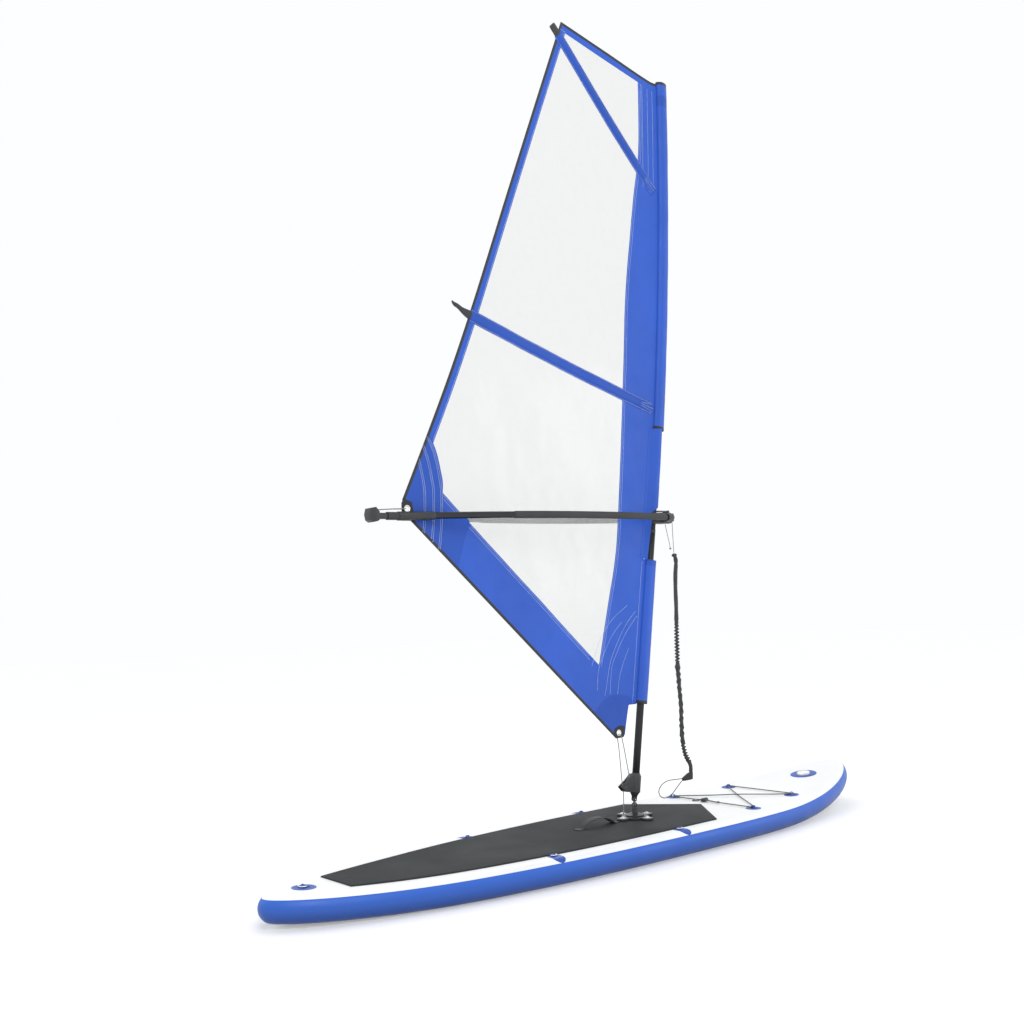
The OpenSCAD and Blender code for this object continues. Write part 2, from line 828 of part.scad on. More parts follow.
// sail outline, drawn in the plane of X and Z
peak = [1524, 3545];
kink = [2079, 3440];
clew = [636, 1405];
tack = [1694, 476];
leech = [[616, 1436], [728, 1667], [857, 1941], [988, 2243], [1168, 2684], [1322, 3058], peak];
foot = [[612, 1393], [650, 1362], [1160, 912], [1676, 455]];
seam_gap = 1;
cut_z = [1325, 1465];
function seam(z) = [mast_x(z) - sleeve_back - seam_gap, z];
luff = concat(
    [for (z = [3440 : -205 : 1800]) seam(max(z, sleeve_upper_z[0]))],
    [[mast_x(1806) - 21, 1806], [mast_x(cut_z[1]) - 21, cut_z[1]]],
    [[mast_x(cut_z[1]) - 50, cut_z[1]], [mast_x(cut_z[0]) - 50, cut_z[0]], [1882, 1235]],
    [seam(sleeve_lower_z[1]), seam(sleeve_lower_z[0]), [1763, 590], [1731, 468], [1712, 455]]);
sail_edge = concat([peak, kink], luff, reversed(foot), leech);

function side_of(a, b) = let (d = unit(b - a)) [d[1], -d[0]];
function shifted(p, d) = [for (i = [0 : len(p) - 1]) let (
    m = side_of(p[max(i - 1, 0)], p[max(i, 1)]),
    n = side_of(p[min(i, len(p) - 2)], p[min(i + 1, len(p) - 1)]),
    u = unit(m + n))
    p[i] + u * d / (u * m)];
function band(p, w) = concat(shifted(p, -80), reversed(shifted(p, w)));

luff_inner = [
    [1998, 3435], [1983, 3094], [1935, 2850], [1864, 2425], [1831, 2105], [1802, 1834],
    [1762, 1479], [1721, 1217], [1651, 960], [1560, 640]
];
clew_zone = [[500, 1200], [500, 1760], [760, 1670], [806, 1520], [810, 1413], [929, 1370], [800, 1000]];
batten_low = [[965, 2179], [2000, 1900]];
batten_high = [[1500, 3484], [2070, 2916]];

module in_sail_plane(t) {
    rotate([90, 0, 0])
        linear_extrude(height = t, center = true)
            children();
}

module foot_zone() {
    polygon(band([[1810, 336], foot[2], [500, 1494]], foot_w));
}

module tape_zone() {
    polygon(band(concat(leech, [[1560, 3630]]), tape_w));
    polygon(band([[1430, 3562.8], kink, [2200, 3446]], tape_w));
}

module luff_zone() {
    polygon(concat([[2300, 3700], [1998, 3700]], luff_inner, [[2300, 640]]));
}

module patch_zone() {
    polygon(clew_zone);
    translate(tack)
        circle(r = 165, $fn = 96);
}

module window_film() {
    difference() {
        polygon(sail_edge);
        foot_zone();
        tape_zone();
        luff_zone();
        patch_zone();
    }
}

module above_line(line, low, high) {
    polygon([line[0] + low, line[1] + low, line[1] + high, line[0] + high]);
}

low_line = [[700, 2250.4], [2300, 1819.2]];
high_line = [[1300, 3683.3], [2300, 2686.8]];

module luff_panel() {
    color("royalblue") from_tail() in_sail_plane(cloth_t) difference() {
        intersection() {
            polygon(sail_edge);
            luff_zone();
        }
        foot_zone();
        tape_zone();
        patch_zone();
    }
}

module foot_panel() {
    color("royalblue") from_tail() in_sail_plane(cloth_t) difference() {
        intersection() {
            polygon(sail_edge);
            foot_zone();
        }
        patch_zone();
    }
}

module window_top() {
    color([0.8, 0.85, 0.88, 0.6]) from_tail() in_sail_plane(cloth_t) intersection() {
        window_film();
        above_line(high_line, [0, 0], [0, 2000]);
    }
}

module window_middle() {
    color([0.8, 0.85, 0.88, 0.6]) from_tail() in_sail_plane(cloth_t) difference() {
        window_film();
        above_line(high_line, [0, 0], [0, 2000]);
        above_line(low_line, [0, -2000], [0, 0]);
    }
}

module window_lower() {
    color([0.8, 0.85, 0.88, 0.6]) from_tail() in_sail_plane(cloth_t) intersection() {
        window_film();
        above_line(low_line, [0, -2000], [0, 0]);
    }
}

// a straight strip on the starboard face of the sail, along a line
module sail_strip(line, w, near, thick) {
    run = line[1] - line[0];
    translate([line[0][0], -near, line[0][1]])
        rotate([0, -atan2(run[1], run[0]), 0])
            translate([0, -thick, -w / 2])
                cube([norm(run), thick, w]);
}

pocket_near = cloth_t / 2;
pocket_t = 5.4;
pocket_w = 52;
batten_t = 3;
batten_w = 22;
module batten_pocket(line) {
    inset = (line[1] - line[0]) * 0.004;
    difference() {
        sail_strip(line, pocket_w, pocket_near, pocket_t);
        sail_strip([line[0] - inset, line[1] - inset], batten_w + 0.4, pocket_near + 1, batten_t + 0.4);
    }
}

module sail_tapes() {
    color("royalblue") from_tail() {
        in_sail_plane(cloth_t)
            difference() {
                intersection() {
                    polygon(sail_edge);
                    tape_zone();
                }
                patch_zone();
                foot_zone();
            }
        batten_pocket(batten_low);
        batten_pocket(batten_high);
    }
}

module corner_patches() {
    color("mediumblue") from_tail() in_sail_plane(cloth_t) difference() {
        intersection() {
            polygon(sail_edge);
            patch_zone();
        }
        for (p = [clew, tack])
            translate(p)
                circle(r = 13, $fn = 64);
    }
}

module battens() {
    color("white") from_tail()
        for (line = [batten_low, batten_high])
            sail_strip([line[0], line[1] - 6 * unit(line[1] - line[0])], batten_w, pocket_near + 1.2, batten_t);
}

// outlines of the caps, along the batten's line and across it: a bent tail with a small hook, and a plain block
cap_tail = [
    [0, -17], [-12, -17], [-34, -12], [-58, 0], [-80, 4], [-94, 12], [-96, 22], [-88, 19], [-78, 20],
    [-54, 18], [-28, 15], [0, 17]
];
cap_block = [[0, -17], [-46, -17], [-46, 17], [0, 17]];
module batten_cap(line, outline) {
    d = unit(line[1] - line[0]);
    translate([0, 4 - pocket_near, 0])
        rotate([90, 0, 0])
            linear_extrude(height = 12)
                polygon([for (p = outline) line[0] + p[0] * d + p[1] * [-d[1], d[0]]]);
}

module batten_caps() {
    color("black") from_tail() {
        difference() {
            batten_cap(batten_low, cap_tail);
            in_sail_plane(cloth_t + 0.2)
                polygon(sail_edge);
        }
        difference() {
            batten_cap(batten_high, cap_block);
            in_sail_plane(cloth_t + 0.2)
                polygon(sail_edge);
        }
    }
}

module sail_eyelets() {
    color("silver") from_tail()
        for (p = [clew, tack])
            translate([p[0], 0, p[1]])
                rotate([90, 0, 0])
                    difference() {
                        cylinder(r = 13, h = 5, center = true, $fn = 64);
                        cylinder(r = 9, h = 7, center = true, $fn = 64);
                    }
}

// the boom's own frame: origin on the mast, X forward along the boom
boom_z = 1404;
module on_boom() {
    translate([mast_x(boom_z), 0, boom_z])
        rotate([0, -boom_slope, 0])
            children();
}

arm_centre = [-545, 130 - arm_bend_r];
function arm_angle(x) = acos((x - arm_centre[0]) / arm_bend_r);
arm_front = 40;
arm_back = -1268;
module arm_sweep(x0, x1) {
    a = arm_angle(x0);
    translate([arm_centre[0], arm_centre[1], 0])
        rotate([0, 0, a])
            rotate_extrude(angle = arm_angle(x1) - a, $fn = 720)
                translate([arm_bend_r, 0])
                    children();
}

module boom_arm() {
    arm_sweep(arm_front, arm_back)
        difference() {
            circle(r = arm_r, $fn = 96);
            circle(r = arm_r - 1.6, $fn = 96);
        }
}

module boom_arm_port() {
    color("dimgray") from_tail() on_boom() boom_arm();
}

module boom_arm_starboard() {
    color("dimgray") from_tail() on_boom() mirror([0, 1, 0]) boom_arm();
}

module boom_grips() {
    color("black") from_tail() on_boom()
        for (side = [0, 1])
            mirror([0, side, 0])
                arm_sweep(10, -900)
                    difference() {
                        circle(r = arm_r + 1.8, $fn = 96);
                        circle(r = arm_r + 0.15, $fn = 96);
                    }
}

// boom head: clamped round the mast, with a cup for each arm and a rounded nose
head_top = 24;
lever_pin_x = 92;
lever_pin_z = 30;
cup_y = 59.5;
cup_turn = 13.7;
module boom_head() {
    color("black") from_tail() on_boom() difference() {
        union() {
            translate([-19, -21, -head_top])
                cube([99, 42, 2 * head_top]);
            translate([38, -62, -17])
                cube([34, 124, 34]);
            translate([104, 0, 2])
                sphere(r = 26, $fn = 96);
            translate([70, 0, 2])
                rotate([0, 90, 0])
                    cylinder(r = 26, h = 34, $fn = 96);
            for (side = [-1, 1]) {
                translate([arm_front, side * cup_y, 0])
                    rotate([0, 0, -side * cup_turn])
                        rotate([0, 90, 0])
                            translate([0, 0, -20])
                                cylinder(r = 17, h = 44, $fn = 96);
                translate([lever_pin_x, side * 12, lever_pin_z])
                    rotate([90, 0, 0])
                        cylinder(r = 6, h = 5, center = true, $fn = 48);
                translate([lever_pin_x - 6, side * 12 - 2.5, 10])
                    cube([12, 5, lever_pin_z - 10]);
            }
        }
        rotate([0, boom_slope - bend_angle(boom_z), 0])
            cylinder(r = upper_r + 0.02, h = 200, center = true, $fn = 96);
        for (side = [0, 1])
            mirror([0, side, 0])
                arm_sweep(arm_front, -20)
                    circle(r = arm_r, $fn = 96);
        translate([lever_pin_x, 0, lever_pin_z])
            rotate([90, 0, 0]) {
                cylinder(r = 2.55, h = 40, center = true, $fn = 32);
                cylinder(r = 5.6, h = 18.8, center = true, $fn = 64);
            }
    }
}

module head_lever() {
    color("dimgray") from_tail() on_boom() union() {
        translate([lever_pin_x, 0, lever_pin_z])
            rotate([90, 0, 0])
                cylinder(r = 5, h = 18, center = true, $fn = 48);
        translate([lever_pin_x, 0, lever_pin_z])
            rotate([90, 0, 0])
                cylinder(r = 2.5, h = 29, center = true, $fn = 32);
        translate([lever_pin_x - 62, -9, lever_pin_z - 1])
            cube([62, 18, 6]);
        translate([lever_pin_x - 62, 0, lever_pin_z + 2])
            rotate([90, 0, 0])
                cylinder(r = 3, h = 18, center = true, $fn = 32);
    }
}

// rear yoke joins both arms behind the sail's corner and guides the sliding tail tube
tail_tube_r = 12;
yoke_back = -1421;
yoke_web = -1358;
tube_end = -1362;
module boom_yoke() {
    color("black") from_tail() on_boom() difference() {
        union() {
            hull() {
                for (side = [-1, 1])
                    translate([-1240, side * 31, 0])
                        rotate([0, 90, 0])
                            cylinder(r = 15.5, h = 8, $fn = 32);
                translate([yoke_web - 14, 0, 0])
                    rotate([0, 90, 0])
                        cylinder(r = 17, h = 14, $fn = 32);
            }
            translate([yoke_back, 0, 0])
                rotate([0, 90, 0])
                    cylinder(r = 15, h = 52, $fn = 96);
        }
        translate([yoke_web, -6, -20])
            cube([140, 12, 40]);
        for (side = [0, 1])
            mirror([0, side, 0])
                arm_sweep(-1200, arm_back)
                    circle(r = arm_r, $fn = 96);
        translate([yoke_back - 1, 0, 0])
            rotate([0, 90, 0])
                cylinder(r = tail_tube_r + 0.05, h = tube_end - yoke_back + 2, $fn = 96);
    }
}

module boom_tail() {
    color("gray") from_tail() on_boom() difference() {
        union() {
            translate([-1470, 0, 0])
                rotate([0, 90, 0])
                    cylinder(r = tail_tube_r, h = 1470 + tube_end, $fn = 96);
            rotate([90, 0, 0])
                linear_extrude(height = 38, center = true)
                    polygon([
                        [-1506, 5], [-1500, 27], [-1476, 31], [-1466, 20], [-1461, 14], [-1461, -14],
                        [-1470, -20], [-1490, -24], [-1502, -16]
                    ]);
        }
        translate([-1459, 0, 0])
            rotate([0, 90, 0])
                cylinder(r = tail_tube_r - 2, h = 200, $fn = 96);
    }
}

outhaul_d = 3.5;
outhaul_route = [
    [-1465.5, -6, 22], [-1430, -6, 24], [-1390, -6, 26], [-1350, -6, 27], [-1342, -6, 27.5], [-1337, -4, 28],
    [-1336, 0, 28], [-1337, 4, 28], [-1342, 6, 27.5], [-1350, 6, 27], [-1390, 6, 26], [-1430, 6, 24],
    [-1465.5, 6, 22]
];
module outhaul_line() {
    color("gray") from_tail() on_boom() cord(outhaul_route, outhaul_d, [0, 0, 1]);
}

// uphaul: a thin line from the boom head, a thick elastic rope, its end piece and a loop
uphaul_d = 18;
uphaul_line_d = 3;
uphaul_line_route = [
    [2094, 0, 1392], [2094, 0, 1350], [2095, 0, 1310], [2096, 0, 1270], [2097, 0, 1244]
];
uphaul_tail_route = [[2046, 0, 1379], [2054, 0, 1350], [2062, 0, 1320], [2070, 0, 1290], [2074, 0, 1270]];
uphaul_rope_route = [
    [2097, 0, 1244], [2106, 0, 1222], [2107, 0, 1200], [2101, 0, 1160], [2098, 0, 1120], [2096, 0, 1070],
    [2096, 0, 1020], [2094, 0, 970], [2092, 0, 920], [2090, 0, 870], [2089, 0, 820], [2088, 0, 770],
    [2087, 0, 730], [2090, 0, 690], [2092, 0, 640], [2096, 0, 590], [2098, 0, 540], [2096, 0, 500],
    [2096, 0, 460], [2096, 0, 425], [2102, 0, 380], [2115, 0, 336], [2130, 0, 312], [2143, 0, 288],
    [2145, 0, 272], [2143, 0, 258]
];
loop_d = 4;
loop_route = [
    [2083, 0, 234], [2060, 0, 235], [2030, 0, 236], [2000, 0, 237], [1970, 0, 233], [1944, 0, 221],
    [1928, 0, 202], [1930, 0, 183], [1946, 0, 169], [1968, 0, 164], [1994, 0, 168], [2020, 0, 180],
    [2044, 0, 198], [2066, 0, 214], [2085, 0, 226]
];
module uphaul_line() {
    color("silver") from_tail() {
        cord(uphaul_line_route, uphaul_line_d, [0, 1, 0]);
        cord(uphaul_tail_route, uphaul_line_d, [0, 1, 0]);
    }
}

module uphaul_rope() {
    color("black") from_tail() cord(uphaul_rope_route, uphaul_d, [0, 1, 0], 12);
}

module uphaul_fitting() {
    color("black") from_tail()
        rotate([90, 0, 0])
            linear_extrude(height = 14, center = true)
                polygon([[2133, 256], [2153, 256], [2151, 222], [2088, 222], [2084, 236]]);
}

module uphaul_loop() {
    color("gray") from_tail() cord(loop_route, loop_d, [0, 1, 0]);
}

deck_skin();
bottom_skin();
rail_band();
stitch_threads();
deck_pad();
valve_body();
valve_cap();
valve_pin();
valve_spring();
anchor_patches();
webbing_loops();
tail_ring();
side_ring_1();
side_ring_2();
side_ring_3();
side_ring_4();
bungee_cord();
cord_lock();
lock_button();
carry_handle();
fin_box();
base_plate();
base_screws();
base_stud();
swivel_hub();
joint_link();
link_pins();
upper_yoke();
extension_collar();
extension_tube();
downhaul_sheave();
downhaul_line();
mast_lower();
mast_upper();
mast_ferrule();
mast_cap();
sleeve_lower();
sleeve_upper();
luff_panel();
foot_panel();
window_top();
window_middle();
window_lower();
sail_tapes();
corner_patches();
battens();
batten_caps();
sail_eyelets();
boom_head();
head_lever();
boom_arm_port();
boom_arm_starboard();
boom_grips();
boom_yoke();
boom_tail();
outhaul_line();
uphaul_line();
uphaul_rope();
uphaul_fitting();
uphaul_loop();
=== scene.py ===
import bpy
import bmesh
import math
from mathutils import Matrix, Vector, noise
from mathutils.geometry import delaunay_2d_cdt


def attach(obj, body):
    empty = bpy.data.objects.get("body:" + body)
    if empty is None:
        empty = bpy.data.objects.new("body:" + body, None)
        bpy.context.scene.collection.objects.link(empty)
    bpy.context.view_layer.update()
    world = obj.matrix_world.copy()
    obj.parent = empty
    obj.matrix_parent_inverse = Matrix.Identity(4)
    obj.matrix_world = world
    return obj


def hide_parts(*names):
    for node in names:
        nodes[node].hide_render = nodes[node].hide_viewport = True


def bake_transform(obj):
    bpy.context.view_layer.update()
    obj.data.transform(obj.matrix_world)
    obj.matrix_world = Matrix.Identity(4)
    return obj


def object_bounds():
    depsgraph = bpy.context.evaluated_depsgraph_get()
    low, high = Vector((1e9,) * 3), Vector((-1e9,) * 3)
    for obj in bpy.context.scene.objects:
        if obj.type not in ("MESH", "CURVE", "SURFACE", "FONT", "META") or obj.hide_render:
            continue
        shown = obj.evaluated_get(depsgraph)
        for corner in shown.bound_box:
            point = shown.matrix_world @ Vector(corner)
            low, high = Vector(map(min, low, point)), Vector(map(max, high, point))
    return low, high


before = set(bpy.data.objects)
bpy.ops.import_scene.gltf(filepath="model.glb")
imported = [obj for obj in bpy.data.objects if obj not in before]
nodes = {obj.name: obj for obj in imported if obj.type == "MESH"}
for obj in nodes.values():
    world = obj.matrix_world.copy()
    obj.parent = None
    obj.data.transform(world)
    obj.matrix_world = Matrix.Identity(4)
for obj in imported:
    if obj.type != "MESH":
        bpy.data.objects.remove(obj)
cad_box = [list(v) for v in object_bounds()]

HALF_LEN = 1.65
EDGE_R = 0.0006  # the rounding of a welded patch's edge, in metres
DECK_Z = 100


def P(x, y, z):
    """A point given in millimetres from the board's tail, in the row's metres."""
    return Vector((x / 1000 - HALF_LEN, y / 1000, z / 1000))


def linked(name, data):
    """A new object in the scene that shows this data."""
    ob = bpy.data.objects.new(name, data)
    bpy.context.scene.collection.objects.link(ob)
    return ob


# ---------------------------------------------------------------- camera
# yaw, pitch and roll in degrees; the lens and its sensor in millimetres; the shift as a share of the width
CAMERA_TURN = (49.903, 2.966, -2.162)
CAMERA_AT = (-1.678 - HALF_LEN, -3.340, 1.006)
SENSOR, LENS, SHIFT = 36, 38.591016, 0.0428584


def make_camera():
    yaw, pitch, roll = (math.radians(a) for a in CAMERA_TURN)
    ahead = Vector((math.cos(yaw) * math.cos(pitch), math.sin(yaw) * math.cos(pitch), math.sin(pitch)))
    level = Vector((math.sin(yaw), -math.cos(yaw), 0))
    up = level.cross(ahead)
    right = level * math.cos(roll) + up * math.sin(roll)
    over = up * math.cos(roll) - level * math.sin(roll)
    cam = bpy.data.cameras.new("camera")
    cam.sensor_width = SENSOR
    cam.lens = LENS
    cam.shift_y = SHIFT
    cam.clip_end = 100
    ob = linked("camera", cam)
    turn = Matrix((right, over, -ahead)).transposed().to_4x4()
    ob.matrix_world = Matrix.Translation(CAMERA_AT) @ turn
    bpy.context.scene.camera = ob


# ---------------------------------------------------------------- materials
class Nodes:
    """A material's node tree, built by name."""

    def __init__(self, name):
        self.mat = bpy.data.materials.new(name)
        self.mat.use_nodes = True
        self.tree = self.mat.node_tree
        self.shader = self.tree.nodes["Principled BSDF"]
        self.place = self.add("ShaderNodeTexCoord").outputs["Object"]

    def add(self, kind, **values):
        n = self.tree.nodes.new(kind)
        for k, v in values.items():
            setattr(n, k, v)
        return n

    def link(self, a, b):
        self.tree.links.new(a, b)

    def feed(self, socket, value):
        if hasattr(value, "is_output"):
            self.link(value, socket)
        else:
            socket.default_value = value

    def math(self, op, a, b=0.0):
        n = self.add("ShaderNodeMath", operation=op)
        self.feed(n.inputs[0], a)
        self.feed(n.inputs[1], b)
        return n.outputs[0]

    def noise(self, scale, detail=2.0, rough=0.5, stretch=None):
        where = self.place
        if stretch:
            m = self.add("ShaderNodeMapping")
            m.inputs["Scale"].default_value = stretch
            self.link(where, m.inputs["Vector"])
            where = m.outputs[0]
        n = self.add("ShaderNodeTexNoise")
        self.link(where, n.inputs["Vector"])
        n.inputs["Scale"].default_value = scale
        n.inputs["Detail"].default_value = detail
        n.inputs["Roughness"].default_value = rough
        return n.outputs["Fac"]

    def voronoi(self, scale, feature="F1"):
        n = self.add("ShaderNodeTexVoronoi", feature=feature)
        self.link(self.place, n.inputs["Vector"])
        n.inputs["Scale"].default_value = scale
        return n.outputs["Distance"]

    def waves(self, scale, axis, place=None):
        n = self.add("ShaderNodeTexWave", bands_direction=axis)
        self.link(place or self.place, n.inputs["Vector"])
        n.inputs["Scale"].default_value = scale
        return n.outputs["Fac"]

    def ramp(self, value, low, high, a=0.0, b=1.0):
        n = self.add("ShaderNodeMapRange", clamp=True)
        self.feed(n.inputs[0], value)
        for i, v in zip(range(1, 5), (low, high, a, b)):
            n.inputs[i].default_value = v
        return n.outputs[0]

    def mix(self, factor, a, b):
        n = self.add("ShaderNodeMix", data_type="RGBA")
        self.feed(n.inputs[0], factor)
        for i, v in ((6, a), (7, b)):
            self.feed(n.inputs[i], v if hasattr(v, "is_output") else (*v, 1))
        return n.outputs[2]

    def bump(self, height, strength, distance, under=None):
        n = self.add("ShaderNodeBump")
        n.inputs["Strength"].default_value = strength
        n.inputs["Distance"].default_value = distance
        self.link(height, n.inputs["Height"])
        if under:
            self.link(under, n.inputs["Normal"])
        return n.outputs[0]

    def uv(self):
        """Coordinates of a tube or strip: turns round it and metres along it."""
        return self.add("ShaderNodeTexCoord").outputs["UV"]

    def split(self, vector):
        n = self.add("ShaderNodeSeparateXYZ")
        self.link(vector, n.inputs[0])
        return n.outputs

    def shade(self, value, colour, dark, light, low=0.3, high=0.7):
        """The colour made darker where the value is low and lighter where it is high."""
        return self.mix(self.ramp(value, low, high), scaled(colour, dark), scaled(colour, light))

    def done(self, colour, rough, normal=None, **plain):
        self.feed(self.shader.inputs["Base Color"], colour if hasattr(colour, "is_output") else (*colour, 1))
        self.feed(self.shader.inputs["Roughness"], rough)
        if normal:
            self.link(normal, self.shader.inputs["Normal"])
        for k, v in plain.items():
            self.shader.inputs[k.replace("_", " ")].default_value = v
        return self.mat


def scaled(c, f):
    return tuple(min(1.0, v * f) for v in c)


def coated_cloth(name, colour, gloss, painted_shade=None):
    """Coated drop-stitch fabric: faint grain of threads under a satin skin. Given a pair of factors as its
    last argument, its colour carries painted shade instead of the random tint: darker where the face turns
    down, lighter where it faces up.
    """
    n = Nodes(name)
    broad = n.noise(1.7, 3)
    grain = n.noise(420, 2, 0.6)
    dimple = n.voronoi(190)
    tint = n.shade(broad, colour, 0.94, 1.05)
    if painted_shade:
        # painted shade: the colour follows the face's tilt, darker facing down and lighter facing up
        up = n.split(n.add("ShaderNodeNewGeometry").outputs["Normal"])[2]
        tint = n.shade(up, colour, *painted_shade, -0.75, 0.65)
    rough = n.ramp(n.noise(9, 4), 0.3, 0.7, gloss - 0.06, gloss + 0.1)
    waves = n.bump(n.noise(5.5, 2), 0.25, 0.004)
    fine = n.bump(n.math("ADD", n.math("MULTIPLY", grain, 0.5), dimple), 0.22, 0.0004, waves)
    return n.done(tint, rough, fine, Specular_IOR_Level=0.4)


def pad_foam(name, colour):
    """Closed-cell foam with a fine diamond press and scuffed high spots."""
    n = Nodes(name)
    cells = n.voronoi(210, "DISTANCE_TO_EDGE")
    pores = n.noise(900, 3, 0.7)
    wear = n.noise(3.5, 5, 0.6)
    tint = n.shade(wear, colour, 0.9, 1.12, 0.35, 0.7)
    # painted shade: the pressed lines between the cells are darkened to 0.72 of the colour
    tint = n.mix(n.ramp(cells, 0.0, 0.12), scaled(colour, 0.72), tint)
    rough = n.ramp(wear, 0.3, 0.7, 0.82, 0.68)
    press = n.bump(n.ramp(cells, 0.0, 0.2), 0.5, 0.0006)
    return n.done(tint, rough, n.bump(pores, 0.25, 0.0002, press), Specular_IOR_Level=0.25)


def sail_cloth(name, colour):
    """Woven polyester: warp and weft, a ripstop grid and soft creases."""
    n = Nodes(name)
    warp = n.waves(380, "X")
    weft = n.waves(380, "Z")
    weave = n.math("MULTIPLY", warp, weft)
    rip = n.math("MAXIMUM", n.ramp(n.waves(24, "X"), 0.975, 1), n.ramp(n.waves(24, "Z"), 0.975, 1))
    shade = n.noise(2.4, 4, 0.55)
    tint = n.shade(shade, colour, 0.9, 1.1)
    tint = n.mix(n.math("MULTIPLY", rip, 0.18), tint, scaled(colour, 1.5))
    rough = n.ramp(n.noise(14, 4), 0.3, 0.7, 0.37, 0.54)
    creases = n.bump(n.noise(7, 4, 0.6, stretch=(1, 1, 0.35)), 0.35, 0.006)
    fine = n.bump(n.math("ADD", weave, n.math("MULTIPLY", rip, 0.6)), 0.3, 0.00025, creases)
    return n.done(tint, rough, fine, Sheen_Weight=0.04, Sheen_Roughness=0.4, Specular_IOR_Level=0.3)


def clear_film(name):
    """Clear sail film: nearly colourless, glossy, with faint creases and a haze that varies."""
    n = Nodes(name)
    haze = n.noise(3.2, 5, 0.6)
    creases = n.noise(11, 6, 0.62, stretch=(1, 1, 0.3))
    pulls = n.noise(46, 3, 0.6, stretch=(0.25, 1, 1))
    bump = n.bump(creases, 0.5, 0.004)
    bump = n.bump(pulls, 0.18, 0.0012, bump)
    n.feed(n.shader.inputs["Alpha"], n.ramp(haze, 0.25, 0.75, 0.26, 0.34))
    rough = n.ramp(haze, 0.3, 0.7, 0.08, 0.2)
    mat = n.done(n.mix(haze, (0.6, 0.6, 0.59), (0.7, 0.7, 0.69)), rough, bump, IOR=1.5)
    mat.surface_render_method = "BLENDED"
    return mat


def moulded(name, colour, rough=0.42):
    """Moulded nylon: fine spark texture and flow marks."""
    n = Nodes(name)
    spark = n.noise(1500, 2, 0.7)
    flow = n.noise(34, 4, 0.6, stretch=(1, 1, 0.4))
    tint = n.shade(flow, colour, 0.85, 1.25)
    r = n.ramp(flow, 0.3, 0.7, rough - 0.06, rough + 0.08)
    return n.done(tint, r, n.bump(spark, 0.3, 0.0002), Metallic=0.0)


def brushed(name, colour, rough):
    """Drawn or turned metal with fine lines along one way."""
    n = Nodes(name)
    lines = n.noise(900, 3, 0.6, stretch=(1, 1, 0.04))
    cloud = n.noise(12, 4)
    tint = n.shade(cloud, colour, 0.9, 1.08)
    blotch = n.math("ADD", n.math("MULTIPLY", lines, 0.6), n.math("MULTIPLY", cloud, 0.4))
    r = n.ramp(blotch, 0.3, 0.7, rough - 0.07, rough + 0.1)
    return n.done(tint, r, n.bump(lines, 0.12, 0.0001), Metallic=1.0)


def braided(name, colour, second, turns, per_metre):
    """Braided cord: two sets of strands crossing round the tube."""
    n = Nodes(name)
    uv = n.split(n.uv())
    round_ = n.math("MULTIPLY", uv[0], turns * math.tau)
    along = n.math("MULTIPLY", uv[1], per_metre * math.tau)
    left = n.math("SINE", n.math("ADD", round_, along))
    right = n.math("SINE", n.math("SUBTRACT", round_, along))
    strands = n.math("MAXIMUM", left, right)
    fleck = n.noise(260, 2)
    # painted shade: the grooves between the strands are darkened to 0.55 of the colour
    tint = n.mix(n.ramp(strands, 0.1, 0.95), scaled(colour, 0.55), colour)
    tint = n.mix(n.ramp(fleck, 0.55, 0.75), tint, second)
    return n.done(tint, 0.7, n.bump(strands, 0.8, 0.0005), Sheen_Weight=0.25)


def webbing(name, colour, pitch=0.0022):
    """Flat woven strap: ribs along it with a twill step."""
    n = Nodes(name)
    uv = n.uv()
    ribs = n.waves(1 / pitch / 6.3, "Y", uv)
    cross = n.waves(1 / pitch / 6.3, "X", uv)
    height = n.math("ADD", ribs, n.math("MULTIPLY", cross, 0.6))
    # painted shade and highlight: the colour is darker in the grooves between the ribs and lighter on their
    # crests
    tint = n.mix(ribs, scaled(colour, 0.7), scaled(colour, 1.15))
    return n.done(tint, 0.72, n.bump(height, 0.7, 0.0004), Sheen_Weight=0.08)


def fibreglass(name, colour):
    """Wound fibre tube: spiral lay under a thin clear coat."""
    n = Nodes(name)
    spiral = n.noise(420, 3, 0.6, stretch=(1, 1, 0.12))
    cloud = n.noise(6, 3)
    tint = n.shade(spiral, colour, 0.85, 1.2, 0.35, 0.65)
    rough = n.ramp(cloud, 0.3, 0.7, 0.42, 0.55)
    return n.done(tint, rough, n.bump(spiral, 0.15, 0.0002), Specular_IOR_Level=0.3)


def grip_foam(name, colour):
    """Grip sleeve: rubbery foam with fine pores and long ribs."""
    n = Nodes(name)
    pores = n.noise(1100, 3, 0.75)
    scuff = n.noise(18, 5, 0.6, stretch=(0.3, 1, 1))
    tint = n.shade(scuff, colour, 0.8, 1.5, 0.35, 0.7)
    return n.done(tint, n.ramp(scuff, 0.3, 0.7, 0.62, 0.8), n.bump(pores, 0.5, 0.0003))


